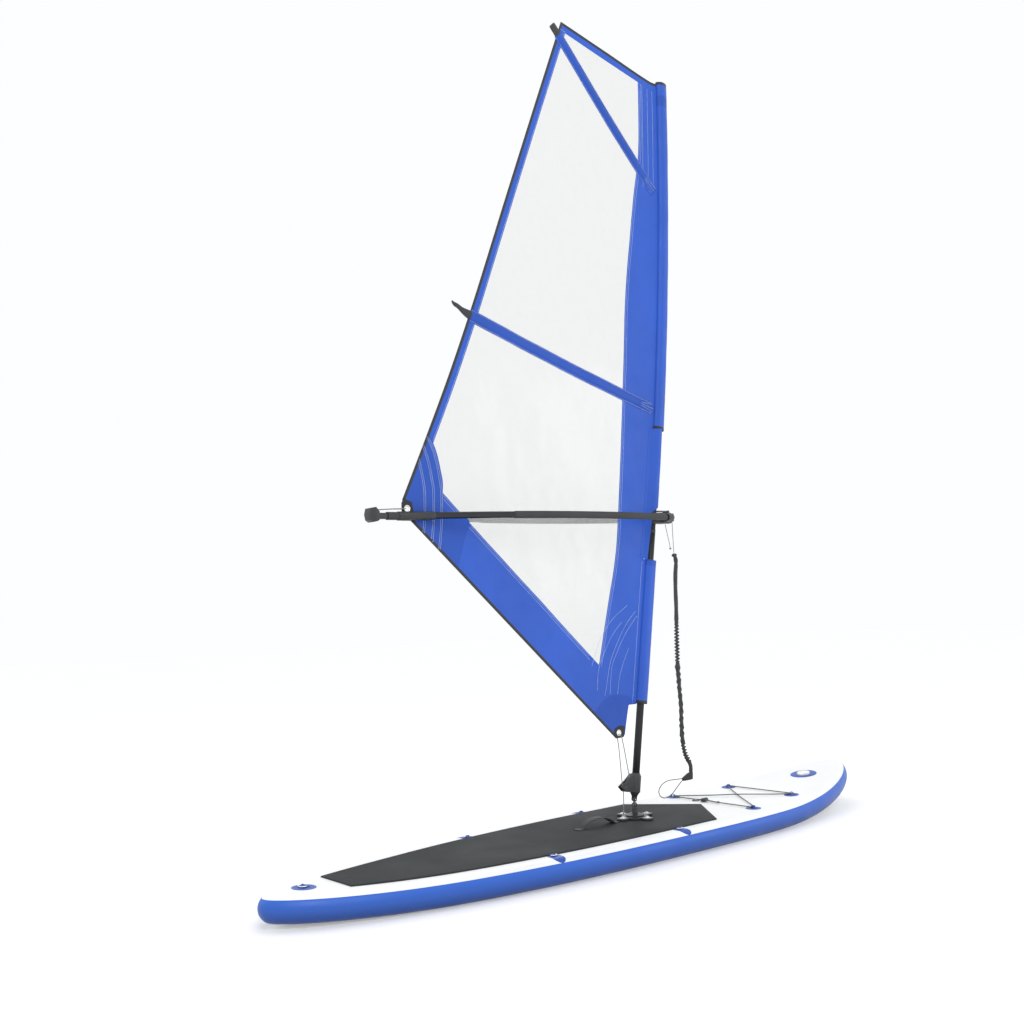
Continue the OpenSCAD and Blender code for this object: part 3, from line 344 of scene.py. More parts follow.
M = {
    "deck": coated_cloth("deck_white", (0.82, 0.83, 0.835), 0.42),
    # the rail band's colour carries painted shade, darker on its lower side where it turns down
    "rail": coated_cloth("rail_blue", (0.016, 0.085, 0.4), 0.36, (0.55, 1.35)),
    "patch": coated_cloth("patch_blue", (0.012, 0.07, 0.38), 0.4),
    "pad": pad_foam("pad_grey", (0.024, 0.028, 0.03)),
    "sail": sail_cloth("sail_blue", (0.02, 0.088, 0.47)),
    "sail_dark": sail_cloth("sail_blue_patch", (0.013, 0.07, 0.4)),
    "film": clear_film("film_clear"),
    "black": moulded("plastic_black", (0.022, 0.024, 0.026)),
    "grey": moulded("plastic_grey", (0.1, 0.105, 0.11)),
    "white": moulded("plastic_white", (0.82, 0.82, 0.81), 0.35),
    "steel": brushed("steel_bright", (0.78, 0.78, 0.77), 0.22),
    "alu": brushed("anodised_dark", (0.05, 0.052, 0.055), 0.34),
    "mast": fibreglass("mast_glass_fibre", (0.014, 0.015, 0.017)),
    "grip": grip_foam("grip_foam", (0.03, 0.031, 0.032)),
    "bungee": braided("bungee_braid", (0.11, 0.115, 0.12), (0.3, 0.3, 0.3), 6, 90),
    "line": braided("line_braid", (0.34, 0.34, 0.33), (0.12, 0.12, 0.12), 5, 130),
    "rope": braided("rope_braid", (0.03, 0.032, 0.033), (0.09, 0.09, 0.09), 10, 70),
    "webbing": webbing("webbing_black", (0.02, 0.021, 0.022)),
    "loop": webbing("webbing_blue", (0.03, 0.07, 0.36)),
    "binding": webbing("binding_black", (0.025, 0.026, 0.028), 0.0015),
    "thread": moulded("thread_pale_blue", (0.6, 0.7, 0.95), 0.6),
    "inner": coated_cloth("thread_ivory", (0.78, 0.77, 0.72), 0.6),
    "batten": moulded("batten_white", (0.8, 0.8, 0.78), 0.3),
}


# ---------------------------------------------------------------- mesh helpers
def make(name, verts, faces, mat, body, smooth=True, uvs=None, mats=None, face_mats=None):
    me = bpy.data.meshes.new(name)
    me.from_pydata([tuple(v) for v in verts], [], faces)
    me.validate()
    for m in (mats or [mat]):
        me.materials.append(m)
    if face_mats:
        for p, k in zip(me.polygons, face_mats):
            p.material_index = k
    if uvs:
        layer = me.uv_layers.new(name="UVMap")
        for p in me.polygons:
            for li, vi in zip(p.loop_indices, p.vertices):
                layer.data[li].uv = uvs[vi]
    ob = linked(name, me)
    if smooth:
        me.shade_smooth()
    if body:
        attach(ob, body)
    return ob


def edited(ob, *edits):
    """The object after these edits of its mesh."""
    bm = bmesh.new()
    bm.from_mesh(ob.data)
    for edit in edits:
        edit(bm)
    bm.to_mesh(ob.data)
    bm.free()
    return ob


def weld(bm):
    bmesh.ops.remove_doubles(bm, verts=bm.verts, dist=1e-7)


def face_out(bm):
    bmesh.ops.recalc_face_normals(bm, faces=bm.faces)


def recalc(ob):
    return edited(ob, face_out)


def dress(ob, node=None):
    """Hides the CAD node, if one is given, that a piece replaces."""
    if node:
        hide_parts(node)
    return ob


def net(rows, cols, loop=True, ring=False, start=0):
    """Faces over rows of cols points; loop joins the ends of each row, ring the first and the last row."""
    def at(i, k):
        return start + i % rows * cols + k % cols

    return [(at(i, k), at(i + 1, k), at(i + 1, k + 1), at(i, k + 1))
            for i in range(rows if ring else rows - 1) for k in range(cols if loop else cols - 1)]


def caps(rows, cols):
    """The two faces that close the ends of a net."""
    return [tuple(range(cols)), tuple((rows - 1) * cols + k for k in reversed(range(cols)))]


def solid(name, verts, cols, mat, body, angle, uvs=None):
    """A closed piece over rows of cols points, with its ends filled and its sharp edges kept."""
    rows = len(verts) // cols
    ob = make(name, verts, net(rows, cols) + caps(rows, cols), mat, body, uvs=uvs)
    return crease(recalc(ob), angle)


def heading(path, i):
    """The direction of a path at one of its points."""
    return (path[min(i + 1, len(path) - 1)] - path[max(i - 1, 0)]).normalized()


def upright(path, turn=Matrix.Identity(3)):
    """The normal of a strap that runs in the XZ plane, at each point of its path."""
    ways = [heading(path, i) for i in range(len(path))]
    return [turn @ Vector((-t.z, 0, t.x)) for t in ways]


def bake(ob):
    """Turns an object's modifiers into plain mesh."""
    bpy.context.view_layer.update()
    ready = ob.evaluated_get(bpy.context.evaluated_depsgraph_get())
    me = bpy.data.meshes.new_from_object(ready)
    ob.modifiers.clear()
    ob.data = me
    return ob


def spline(points, step):
    """A smooth line through the points, at about this spacing, in metres."""
    pts = [Vector(p) for p in points]
    out = []
    for i in range(len(pts) - 1):
        p0 = pts[max(i - 1, 0)]
        p1, p2 = pts[i], pts[i + 1]
        p3 = pts[min(i + 2, len(pts) - 1)]
        span = (p2 - p1).length
        a = (p2 - p0).normalized() * span if (p2 - p0).length else Vector()
        b = (p3 - p1).normalized() * span if (p3 - p1).length else Vector()
        n = max(1, round(span / step))
        for k in range(n):
            t = k / n
            h = 2 * t ** 3 - 3 * t ** 2 + 1
            out.append(p1 * h + a * (t ** 3 - 2 * t ** 2 + t) + p2 * (1 - h) + b * (t ** 3 - t ** 2))
    out.append(pts[-1])
    return out


def rails(path):
    """A frame that doesn't twist, at each point of a path."""
    frames = []
    side = None
    for i, p in enumerate(path):
        t = heading(path, i)
        if side is None:
            ref = Vector((0, 1, 0)) if abs(t.y) < 0.9 else Vector((1, 0, 0))
            side = t.cross(ref).normalized()
        side = (side - t * side.dot(t)).normalized()
        frames.append((p, side, t.cross(side), t))
    return frames


def tube(name, path, radius, mat, body, sides, ends=True):
    """A tube along a path; radius is a number or a function of (metres along, angle)."""
    r_at = radius if callable(radius) else (lambda s, a: radius)
    verts, uvs = [], []
    s = 0.0
    frames = rails(path)
    last = None
    for p, u, v, _ in frames:
        s += 0 if last is None else (p - last).length
        last = p
        for k in range(sides + 1):
            a = math.tau * k / sides
            r = r_at(s, a % math.tau)
            verts.append(p + u * (math.cos(a) * r) + v * (math.sin(a) * r))
            uvs.append((k / sides, s))
    w = sides + 1
    faces = net(len(path), w, loop=False)
    if ends:
        for ring, sign in ((0, -1), (len(path) - 1, 1)):
            p, _, _, t = frames[ring]
            c = len(verts)
            r = r_at(0.0 if ring == 0 else s, 0.0)
            verts.append(p + t * (sign * r * 0.45))
            uvs.append((0.5, 0.0 if ring == 0 else s))
            for k in range(sides):
                f = (ring * w + k, ring * w + k + 1, c)
                faces.append(f if sign > 0 else f[::-1])
    ob = edited(make(name, verts, faces, mat, body, uvs=uvs), weld, face_out)
    ob.data.shade_smooth()
    return ob


def paint(node, mat):
    """A CAD node keeps its shape and takes a finished material."""
    ob = nodes[node]
    for s in ob.material_slots:
        s.material = mat
    return ob


make_camera()


# ---------------------------------------------------------------- the board's form
LEN, RAIL_R, WIDE_X, FLAT_HALF = 3300, 50, 1900, 310
NOSE_FROM, TAIL_FROM, NOSE_RISE, TAIL_RISE = 2384, 731, 100, 18


def flat_at(x):
    """Half width of the flat deck at x millimetres from the tail."""
    if x < WIDE_X:
        u, p, q = (WIDE_X - x) / (WIDE_X - RAIL_R), 2.56, 1.45
    else:
        u, p, q = (x - WIDE_X) / (LEN - RAIL_R - WIDE_X), 2.59, 1.32
    return FLAT_HALF * max(0.0, 1 - min(u, 1.0) ** p) ** (1 / q)


def rise(x):
    if x > NOSE_FROM:
        return NOSE_RISE * ((x - NOSE_FROM) / (LEN - NOSE_FROM)) ** 2
    return TAIL_RISE * ((TAIL_FROM - x) / TAIL_FROM) ** 2 if x < TAIL_FROM else 0.0


def pitch(x):
    return math.atan((rise(x + 1) - rise(x - 1)) / 2)


def on_deck(x, y, lift=0.0):
    """A matrix whose Z is the deck's own upright, in metres."""
    at = Matrix.Translation(P(x, y, DECK_Z + rise(x)))
    return at @ Matrix.Rotation(-pitch(x), 4, "Y") @ Matrix.Translation((0, 0, lift / 1000))


def board_loop(count=170):
    turns = [math.pi * (0.004 + 0.992 * i / count) for i in range(count + 1)]
    xs = [RAIL_R + (LEN - 2 * RAIL_R) * (1 - math.cos(a)) / 2 for a in turns]
    right = [(x, -flat_at(x)) for x in xs]
    left = [(x, flat_at(x)) for x in reversed(xs)]
    loop = [(RAIL_R, 0.0)] + right + [(LEN - RAIL_R, 0.0)] + left
    n = len(loop)
    outs = []
    for i in range(n):
        a, b = Vector(loop[i - 1]), Vector(loop[(i + 1) % n])
        d = (b - a).normalized()
        outs.append((d.y, -d.x))
    return loop, outs, count


def board_shell(name, angles, radius, wall, mat, flat=False):
    """The part of the board's skin between two angles round the rail, with a real wall."""
    loop, outs, count = board_loop()
    n = len(loop)
    verts, uvs = [], []

    def ring(angle, r):
        a = math.radians(angle)
        for (x, y), (ox, oy) in zip(loop, outs):
            out = r * math.sin(a)
            verts.append(P(x + ox * out, y + oy * out, RAIL_R + rise(x) + r * math.cos(a)))
            uvs.append((x / 1000, angle / 100))

    for a in angles:
        ring(a, radius)
    for a in reversed(angles):
        ring(a, radius - wall)
    rings = 2 * len(angles)
    faces = net(rings, n, ring=not flat)
    if flat:
        for base in (0, (rings - 1) * n):
            faces.append((base, base + 1, base + n - 1))
            faces.append((base + count + 1, base + count + 2, base + count + 3))
            for i in range(1, count + 1):
                faces.append((base + i, base + i + 1, base + n - i - 1, base + n - i))
    return recalc(make(name, verts, faces, mat, "board", uvs=uvs))


def steps(a, b, n):
    return [a + (b - a) * i / n for i in range(n + 1)]


BAND_FROM, BAND_LOW, SKIN_T = 46, 24, 1.5


def build_board():
    """The white skins end under the coloured band, whose edge stands proud by its own thickness."""
    deck = board_shell("board_deck", steps(0, BAND_FROM + 3, 14), RAIL_R, SKIN_T, M["deck"], True)
    dress(deck, "deck_skin")
    low = 180 - BAND_LOW
    under = board_shell("board_bottom", steps(180, low - 3, 10), RAIL_R, SKIN_T, M["deck"], True)
    dress(under, "bottom_skin")
    band = board_shell("board_rail_band", steps(BAND_FROM, low, 30), RAIL_R + 0.5, 0.9, M["rail"])
    dress(band, "rail_band")


def rounded_plate(name, outline, matrix, thick, mat):
    """A flat plate on the board from a closed outline in metres, with a rounded upper edge."""
    r = EDGE_R
    pts = [Vector((x, y)) for x, y in outline]
    n = len(pts)
    area = sum(pts[i - 1].x * pts[i].y - pts[i].x * pts[i - 1].y for i in range(n))
    if area < 0:
        pts.reverse()
    centre = sum(pts, Vector((0, 0))) / n
    insets = []
    for i in range(n):
        a, b = pts[i - 1], pts[(i + 1) % n]
        d = (b - a).normalized()
        insets.append(Vector((-d.y, d.x)))
    rows = [(0.0, 0.0), (0.0, thick - r)]
    rows += [(r * (1 - math.cos(a)), thick - r + r * math.sin(a)) for a in (0.5, 1.0, math.pi / 2)]
    verts = []
    for inset, z in rows:
        verts += [matrix @ Vector((*(p + d * inset), z)) for p, d in zip(pts, insets)]
    spans = 4
    for s in range(1, spans):
        f = 1 - s / spans
        inner = [centre + (p + d * r - centre) * f for p, d in zip(pts, insets)]
        verts += [matrix @ Vector((*p, thick)) for p in inner]
    rings = len(rows) + spans - 1
    faces = [f[::-1] for f in net(rings, n)]
    top, bottom = len(verts), len(verts) + 1
    verts.append(matrix @ Vector((*centre, thick)))
    verts.append(matrix @ Vector((*centre, 0)))
    for i in range(n):
        j = (i + 1) % n
        faces.append(((rings - 1) * n + i, (rings - 1) * n + j, top))
        faces.append((j, i, bottom))
    return make(name, verts, faces, mat, "board")


def circle(r, n, centre=(0, 0)):
    return [(centre[0] + r * math.cos(a), centre[1] + r * math.sin(a)) for a in steps(0, math.tau, n)[:-1]]


def ring_plate(name, r0, r1, matrix, thick, mat):
    """A flat ring on the board with rounded edges, lathed."""
    e = EDGE_R
    profile = [(r0, 0), (r0, thick - e), (r0 + e * 0.3, thick - e * 0.3), (r0 + e, thick), (r1 - e, thick),
               (r1 - e * 0.3, thick - e * 0.3), (r1, thick - e), (r1, 0)]
    return lathe(name, profile, matrix, mat, "board", 96, closed=True)


def drop_slivers(bm):
    bmesh.ops.dissolve_degenerate(bm, dist=1e-8, edges=bm.edges)


def lathe(name, profile, matrix, mat, body, n, closed=False):
    """A profile of (radius, height) in metres turned about the matrix's Z."""
    verts, uvs = [], []
    for k in range(n):
        a = math.tau * k / n
        for r, z in profile:
            verts.append(matrix @ Vector((r * math.cos(a), r * math.sin(a), z)))
            uvs.append((k / n, z))
    ob = make(name, verts, net(n, len(profile), loop=closed, ring=True), mat, body, uvs=uvs)
    return crease(edited(ob, weld, drop_slivers, face_out), 32)


def crease(ob, angle):
    """Smooth shading that keeps edges sharper than the angle, in degrees."""
    ob.data.shade_smooth()

    def mark(bm):
        for e in bm.edges:
            if len(e.link_faces) == 2 and e.calc_face_angle(0) > math.radians(angle):
                e.smooth = False

    return edited(ob, mark)


# ---------------------------------------------------------------- the deck pad
PAD_FROM, PAD_SHOULDER, PAD_TIP, PAD_MARGIN, PAD_T = 288, 1980, 2202, 34, 5
PAD_LANES, PAD_CUT = 14, 2.0


def build_pad():
    t, cut, lanes = PAD_T, PAD_CUT, PAD_LANES
    xs = steps(PAD_FROM, PAD_SHOULDER, 90)
    half = [flat_at(x) - PAD_MARGIN for x in xs]
    xs.append(PAD_TIP)
    half.append(0.6)
    verts = []

    def on_top(x, y, up):
        return P(x, y, DECK_Z + rise(x) + up)

    for x, w in zip(xs, half):
        inner = max(w - cut, 0.3)
        edge = [(w, 0.2), (w, t - cut * 0.7), (w - min(cut, w) * 0.35, t - cut * 0.25)]
        verts += [on_top(x, -y, up) for y, up in edge]
        verts += [on_top(x, y, t) for y in steps(-inner, inner, lanes)]
        verts += [on_top(x, y, up) for y, up in reversed(edge)]
    ob = dress(solid("pad_sheet", verts, lanes + 7, M["pad"], "board", 30), "deck_pad")
    # a pressed border line just inside the pad's edge
    inset = [(x, w - 9) for x, w in zip(xs[2:-1], half[2:-1])]
    ring = [on_top(x, -w, t + 0.05) for x, w in inset] + [P(PAD_TIP - 14, 0, DECK_Z + t + 0.05)]
    ring += [on_top(x, w, t + 0.05) for x, w in reversed(inset)]
    tube("pad_border", ring + [ring[0]], 0.0009, M["black"], "board", 6, ends=False)


# ---------------------------------------------------------------- rings, loops, patches
def d_ring(name, body, matrix, bar_half, wire):
    """A welded D: a straight bar along Y and a bow towards +X. Its CAD node is named like its body."""
    c, quarter = bar_half * 0.28, math.pi / 2

    def bend(a):
        return c * (1 - math.cos(a)) * 0.9, bar_half - c + c * math.sin(a)

    flat = [(0, y) for y in steps(c - bar_half, bar_half - c, 8)]
    flat += [bend(a) for a in steps(0, quarter, 6)[1:]]
    bow = bar_half - c * 0.9
    sweep = steps(quarter, -quarter, 24)[1:-1]
    flat += [(c * 0.9 + bow * math.cos(a), bar_half * math.sin(a)) for a in sweep]
    flat += [(x, -y) for x, y in (bend(a) for a in steps(quarter, 0, 6))]
    path = [matrix @ Vector((x, y, 0)) for x, y in flat]
    dress(closed_tube(name, path, wire, M["steel"], body, 14), body)


def closed_tube(name, path, radius, mat, body, sides):
    """A tube round a closed path."""
    n = len(path)
    frames = []
    side = None
    for i, p in enumerate(path):
        t = (path[(i + 1) % n] - path[i - 1]).normalized()
        if side is None:
            ref = Vector((0, 0, 1)) if abs(t.z) < 0.8 else Vector((0, 1, 0))
            side = t.cross(ref).normalized()
        side = (side - t * side.dot(t)).normalized()
        frames.append((p, side, t.cross(side)))
    verts = []
    for p, u, v in frames:
        verts += [p + u * x + v * y for x, y in circle(radius, sides)]
    return recalc(make(name, verts, net(n, sides, ring=True), mat, body))


# a strap's section as shares of (half width, thickness)
STRAP = [
    (-1, 0), (-1, 0.5), (-0.965, 0.9), (-0.9, 1), (0.9, 1), (0.965, 0.9), (1, 0.5), (1, 0), (0.965, 0),
    (-0.965, 0),
]


def strip(name, path, normals, half_w, thick, mat):
    """A strap on the board along a path: normals point out of its face, half_w is half its width."""
    verts, uvs = [], []
    s = 0.0
    for i, (p, nrm) in enumerate(zip(path, normals)):
        side = nrm.cross(heading(path, i)).normalized()
        if i:
            s += (p - path[i - 1]).length
        w = half_w(s) if callable(half_w) else half_w
        for a, b in STRAP:
            verts.append(p + side * (a * w) + nrm * (b * thick))
            uvs.append((a * w, s))
    return solid(name, verts, len(STRAP), mat, "board", 40, uvs)


TAIL_RING_X, SIDE_XS = 165, (1060, 1725)
BUNGEE_REAR, BUNGEE_FRONT = (2280, 235), (2630, 185)
PATCH_TOP, LOOP_WALL, LOOP_PLAY = 1.65, 2.2, 0.08
PATCH_T, PATCH_LIFT, NOSE_LIFT = 0.0015, 0.15, 0.6
TAIL_BAR_Z = PATCH_TOP + 2.5 + LOOP_PLAY + LOOP_WALL
SIDE_BAR_Z = PATCH_TOP + 2 + LOOP_PLAY + LOOP_WALL
VALVE_X, VALVE_RIM = 2991, 5


def loop_strap(name, matrix, wire, half_len):
    """A webbing loop folded round a ring's bar (along Y), its tails sewn down along X."""
    r = (wire + LOOP_PLAY + LOOP_WALL * 0.5) / 1000
    z = -(wire + LOOP_PLAY + LOOP_WALL) / 1000
    low, lift_from = z + 0.0008, 0.008
    pts = []
    for x in steps(-0.02, 0, 8):
        pts.append(Vector((x, 0, low + max(0, (x + lift_from) / lift_from) ** 2 * (r - low))))
    for i in range(1, 12):
        a = math.pi / 2 - math.pi * i / 12
        pts.append(Vector((r * math.cos(a), 0, r * math.sin(a))))
    for i in range(1, 5):
        pts.append(Vector((-0.004 * i, 0, z + 0.0004)))
    path = [matrix @ p for p in pts]
    return strip(name, path, upright(pts, matrix.to_3x3()), half_len / 1000, 0.0012, M["loop"])


# one stitch: a flat six-sided foot and a ridge, as (along, across, up), and its faces
STITCH = (
    (-1, 0, 0), (-0.6, 1, 0.4), (0.6, 1, 0.4), (1, 0, 0), (0.6, -1, 0.4), (-0.6, -1, 0.4), (-0.5, 0, 1.3),
    (0.5, 0, 1.3),
)
STITCH_FACES = ((0, 1, 6), (1, 2, 7, 6), (2, 3, 7), (3, 4, 7), (4, 5, 6, 7), (5, 0, 6), (0, 5, 4, 3, 2, 1))


def stitches(name, paths, body, pitch_m, r, zigzag=0.0, reach=0.36):
    """Rows of short sewn stitches lying on a surface: each path is a list of (point, normal)."""
    verts, faces = [], []
    for path in paths:
        s, want, flip = 0.0, 0.0, 1
        for (a, na), (b, _) in zip(path, path[1:]):
            seg = (b - a).length
            if seg < 1e-9:
                continue
            d = (b - a) / seg
            while want <= s + seg:
                p = a + d * (want - s)
                side = na.cross(d).normalized()
                ahead = (d + side * (zigzag * flip)).normalized()
                flip = -flip
                c, across = len(verts), na.cross(ahead).normalized()
                h = pitch_m * reach
                verts += [p + ahead * (u * h) + across * (v * r) + na * (w * r) for u, v, w in STITCH]
                faces += [tuple(c + i for i in f) for f in STITCH_FACES]
                want += pitch_m
            s += seg
    return make(name, verts, faces, M["thread"], body)


def side_matrix(x, side, lift):
    y = side * (flat_at(x) - PAD_MARGIN + 14)
    return on_deck(x, y, lift) @ Matrix.Rotation(side * math.pi / 2, 4, "Z")


def tongue_patch(name, x, side):
    """A tongue that starts beside the pad and curls over the rail, with a round end."""
    half, inner, outer, r = 25, 28, 36, RAIL_R + 0.15
    turn = math.atan((flat_at(x + 5) - flat_at(x - 5)) / 10)
    end = r * math.asin(outer / r)
    path, nrm, wide = [], [], []
    for s in steps(-inner, end, 44):
        a = max(0.0, s / r)
        y, z = (s, r) if s < 0 else (r * math.sin(a), r * math.cos(a))
        back = outer - half
        over = min(1.0, max(0.0, (y - back) / half))
        q = Vector((-y * math.sin(turn), flat_at(x) + y * math.cos(turn)))
        path.append(P(x + q.x, side * q.y, RAIL_R + z))
        out = Vector((-math.sin(turn) * math.sin(a), side * math.cos(turn) * math.sin(a), math.cos(a)))
        nrm.append(out.normalized())
        wide.append(max(0.0012, half / 1000 * math.sqrt(max(0.0, 1 - over * over))))
    gap = (end + inner) / 44 / 1000
    return strip(name, path, nrm, lambda s: wide[min(len(wide) - 1, round(s / gap))], PATCH_T, M["patch"])


def spun(degrees):
    return Matrix.Rotation(math.radians(degrees), 4, "Z")


def round_patch(name, radius, n, matrix):
    return rounded_plate(name, circle(radius, n), matrix, PATCH_T, M["patch"])


def build_patches():
    tail = on_deck(TAIL_RING_X, 0, TAIL_BAR_Z) @ spun(180)
    nose = ((*BUNGEE_REAR, PATCH_LIFT, PATCH_TOP, -1), (*BUNGEE_FRONT, NOSE_LIFT, PATCH_TOP + 0.45, 1))
    pieces = [round_patch("tail_patch", 0.042, 96, on_deck(TAIL_RING_X, 0, PATCH_LIFT))]
    pieces += [tongue_patch(f"side_patch_{x}_{side + 1}", x, side) for x in SIDE_XS for side in (-1, 1)]
    for k, (x, y, lift, _, _) in enumerate(nose):
        for side in (-1, 1):
            pieces.append(round_patch(f"bungee_patch_{k}_{side + 1}", 0.034, 72, on_deck(x, side * y, lift)))
    valve = on_deck(VALVE_X, 0, NOSE_LIFT)
    pieces.append(ring_plate("valve_patch", 0.033, 0.064, valve, PATCH_T, M["patch"]))
    for p in pieces:
        dress(p, "anchor_patches")
    loops = [loop_strap("tail_loop", tail, 2.5, 11)]
    for x in SIDE_XS:
        for side in (-1, 1):
            loops.append(loop_strap(f"side_loop_{x}_{side + 1}", side_matrix(x, side, SIDE_BAR_Z), 2, 8))
    for k, (x, y, _, top, turn) in enumerate(nose):
        for side in (-1, 1):
            m = on_deck(x, side * y, top) @ spun(turn * side * 70.1)
            loops.append(arch_strap(f"bungee_loop_{k}_{side + 1}", m))
    for p in loops:
        dress(p, "webbing_loops")
    rows = []
    sewn = [(TAIL_RING_X, 0, 38)] + [(x, s * y, 30) for x, y in (BUNGEE_REAR, BUNGEE_FRONT) for s in (-1, 1)]
    for x, y, r in sewn:
        m = on_deck(x, y, 1.7)
        up = (m.to_3x3() @ Vector((0, 0, 1))).normalized()
        round_ = circle(r / 1000, 60)
        rows.append([(m @ Vector((*p, 0)), up) for p in round_ + round_[:1]])
    stitches("patch_stitches", rows, "board", 0.004, 0.0004)


def arch_strap(name, m):
    """A webbing arch standing on its patch, with sewn feet."""
    foot = ((-0.024, 0.0004), (-0.018, 0.0004), (-0.013, 0.0006), (-0.0105, 0.0018))
    pts = [Vector((x, 0, z)) for x, z in foot]
    for a in steps(math.pi, 0, 12):
        pts.append(Vector((0.009 * math.cos(a), 0, 0.0032 + 0.008 * math.sin(a))))
    pts += [Vector((-p.x, 0, p.z)) for p in reversed(pts[:4])]
    return strip(name, [m @ p for p in pts], upright(pts, m.to_3x3()), 0.006, 0.0012, M["loop"])


def build_rings():
    d_ring("tail_d_ring", "tail_ring", on_deck(TAIL_RING_X, 0, TAIL_BAR_Z) @ spun(180), 0.018, 0.0025)
    places = [(x, side) for x in SIDE_XS for side in (1, -1)]
    for k, (x, side) in enumerate(places, 1):
        d_ring(f"side_d_ring_{k}", f"side_ring_{k}", side_matrix(x, side, SIDE_BAR_Z), 0.013, 0.002)


# ---------------------------------------------------------------- cords
def route(points, step=0.006):
    return spline([P(*p) for p in points], step)


BUNGEE = [
    (2258, 92, 103), (2264, 75, 104), (2269, 58, 107), (2270, 46, 109), (2270, 34, 109), (2270, 22, 109),
    (2272, -20, 107), (2274, -80, 106), (2274, -140, 106), (2274, -200, 106), (2274, -226, 106),
    (2276, -232, 106), (2280, -235, 106), (2286, -235, 106), (2290, -232, 106),
    (2350, -157, 106), (2410, -81, 106), (2475, 0, 106), (2540, 82, 109), (2580, 132, 111.2),
    (2620, 182, 113.8), (2624, 185, 113.8), (2630, 185, 113.8), (2634, 182, 113.8), (2636, 176, 113.8),
    (2636, 120, 113.8), (2636, 60, 113.8), (2636, 0, 113.8), (2636, -60, 113.8), (2636, -120, 113.8),
    (2636, -176, 113.8), (2634, -182, 113.8), (2630, -185, 113.8), (2624, -185, 113.8), (2620, -182, 113.8),
    (2580, -132, 112), (2540, -82, 112), (2475, 0, 112), (2410, 81, 109), (2350, 157, 107),
    (2290, 232, 106), (2286, 235, 106), (2280, 235, 106), (2276, 232, 106), (2274, 226, 106),
    (2274, 180, 106), (2275, 120, 106), (2276, 80, 107), (2278, 58, 109), (2278, 46, 109),
    (2278, 34, 109), (2278, 22, 109), (2280, 6, 107), (2286, -12, 104), (2292, -26, 103),
]
DOWNHAUL = [
    (1738, -7, 283), (1736, -7, 300), (1724, -7, 360), (1712, -7, 420), (1703, -7, 456), (1699, -6, 464),
    (1696, -3.5, 470.5), (1695, 0, 472), (1694, 3.5, 470.5), (1692, 6, 464), (1690, 6, 456), (1693, 4, 420),
    (1696, 2, 360), (1699, 1, 300), (1700, 0, 270), (1701, 0, 250), (1701, 0, 242), (1704, 0, 234),
    (1706, 0, 224), (1706, 0, 200), (1704, 0, 170), (1702, 0, 140), (1701, 0, 128),
]
OUTHAUL = [
    (-1465.5, -6, 22), (-1430, -6, 24), (-1390, -6, 26), (-1350, -6, 27), (-1342, -6, 27.5), (-1337, -4, 28),
    (-1336, 0, 28), (-1337, 4, 28), (-1342, 6, 27.5), (-1350, 6, 27), (-1390, 6, 26), (-1430, 6, 24),
    (-1465.5, 6, 22),
]
UPHAUL_LINE = [(2094, 0, 1392), (2094, 0, 1350), (2095, 0, 1310), (2096, 0, 1270), (2097, 0, 1244)]
UPHAUL_TAIL = [(2046, 0, 1379), (2054, 0, 1350), (2062, 0, 1320), (2070, 0, 1290), (2074, 0, 1270)]
UPHAUL_ROPE = [
    (2097, 0, 1244), (2106, 0, 1222), (2107, 0, 1200), (2101, 0, 1160), (2098, 0, 1120), (2096, 0, 1070),
    (2096, 0, 1020), (2094, 0, 970), (2092, 0, 920), (2090, 0, 870), (2089, 0, 820), (2088, 0, 770),
    (2087, 0, 730), (2090, 0, 690), (2092, 0, 640), (2096, 0, 590), (2098, 0, 540), (2096, 0, 500),
    (2096, 0, 460), (2096, 0, 425), (2102, 0, 380), (2115, 0, 336), (2130, 0, 312), (2143, 0, 288),
    (2145, 0, 272), (2143, 0, 258),
]
UPHAUL_LOOP = [
    (2083, 0, 234), (2060, 0, 235), (2030, 0, 236), (2000, 0, 237), (1970, 0, 233), (1944, 0, 221),
    (1928, 0, 202), (1930, 0, 183), (1946, 0, 169), (1968, 0, 164), (1994, 0, 168), (2020, 0, 180),
    (2044, 0, 198), (2066, 0, 214), (2085, 0, 226),
]
BLEND_LOW, BLEND_HIGH = P(2100, 0, 300), P(2094, 0, 1390)
TAIL_LOW, TAIL_HIGH = P(1704, 0, 134), P(1704, 0, 232)


def lay_cord(ob, path, ends=(), **facts):
    """For a cord that leaves the part at the first point of its path: puts its end pieces among its facts,
    which are not passed on.
    """
    if ends:
        facts["with_pieces"] = list(ends)


def stretch(ob, start, end):
    """A cord that hangs between the mast foot's link and the rig: its place is baked into its mesh, and
    nothing makes it bend between these two points.
    """
    tuple(start)
    tuple(end)
    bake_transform(ob)


def knot(name, at, size, mat, body, seed, wire=None):
    """An overhand knot: a trefoil of the cord itself, pulled tight."""
    wire = wire or size * 0.24
    path = []
    for i in range(72):
        t = math.tau * i / 72
        x = math.sin(t) + 2 * math.sin(2 * t)
        y = math.cos(t) - 2 * math.cos(2 * t)
        z = -math.sin(3 * t)
        v = Vector((x, y, z * 1.1)) * (size / 3.0 * 0.42)
        v.rotate(Matrix.Rotation(seed * 1.3, 3, "Z"))
        v.rotate(Matrix.Rotation(math.pi / 2 * (seed % 2), 3, "X"))
        path.append(at + v)
    return closed_tube(name, path, wire, mat, body, 10)


def build_bungee():
    path = route(BUNGEE)
    ob = dress(tube("bungee", path, 0.0025, M["bungee"], "board", 12), "bungee_cord")
    ends = [knot(f"bungee_knot_{k}", at, 0.011, M["bungee"], "board", k)
            for k, at in ((1, path[0]), (2, path[-1]))]
    lay_cord(ob, path, ends, diameter=0.005, far_end="knot", stiffness="limp", lay="taut")


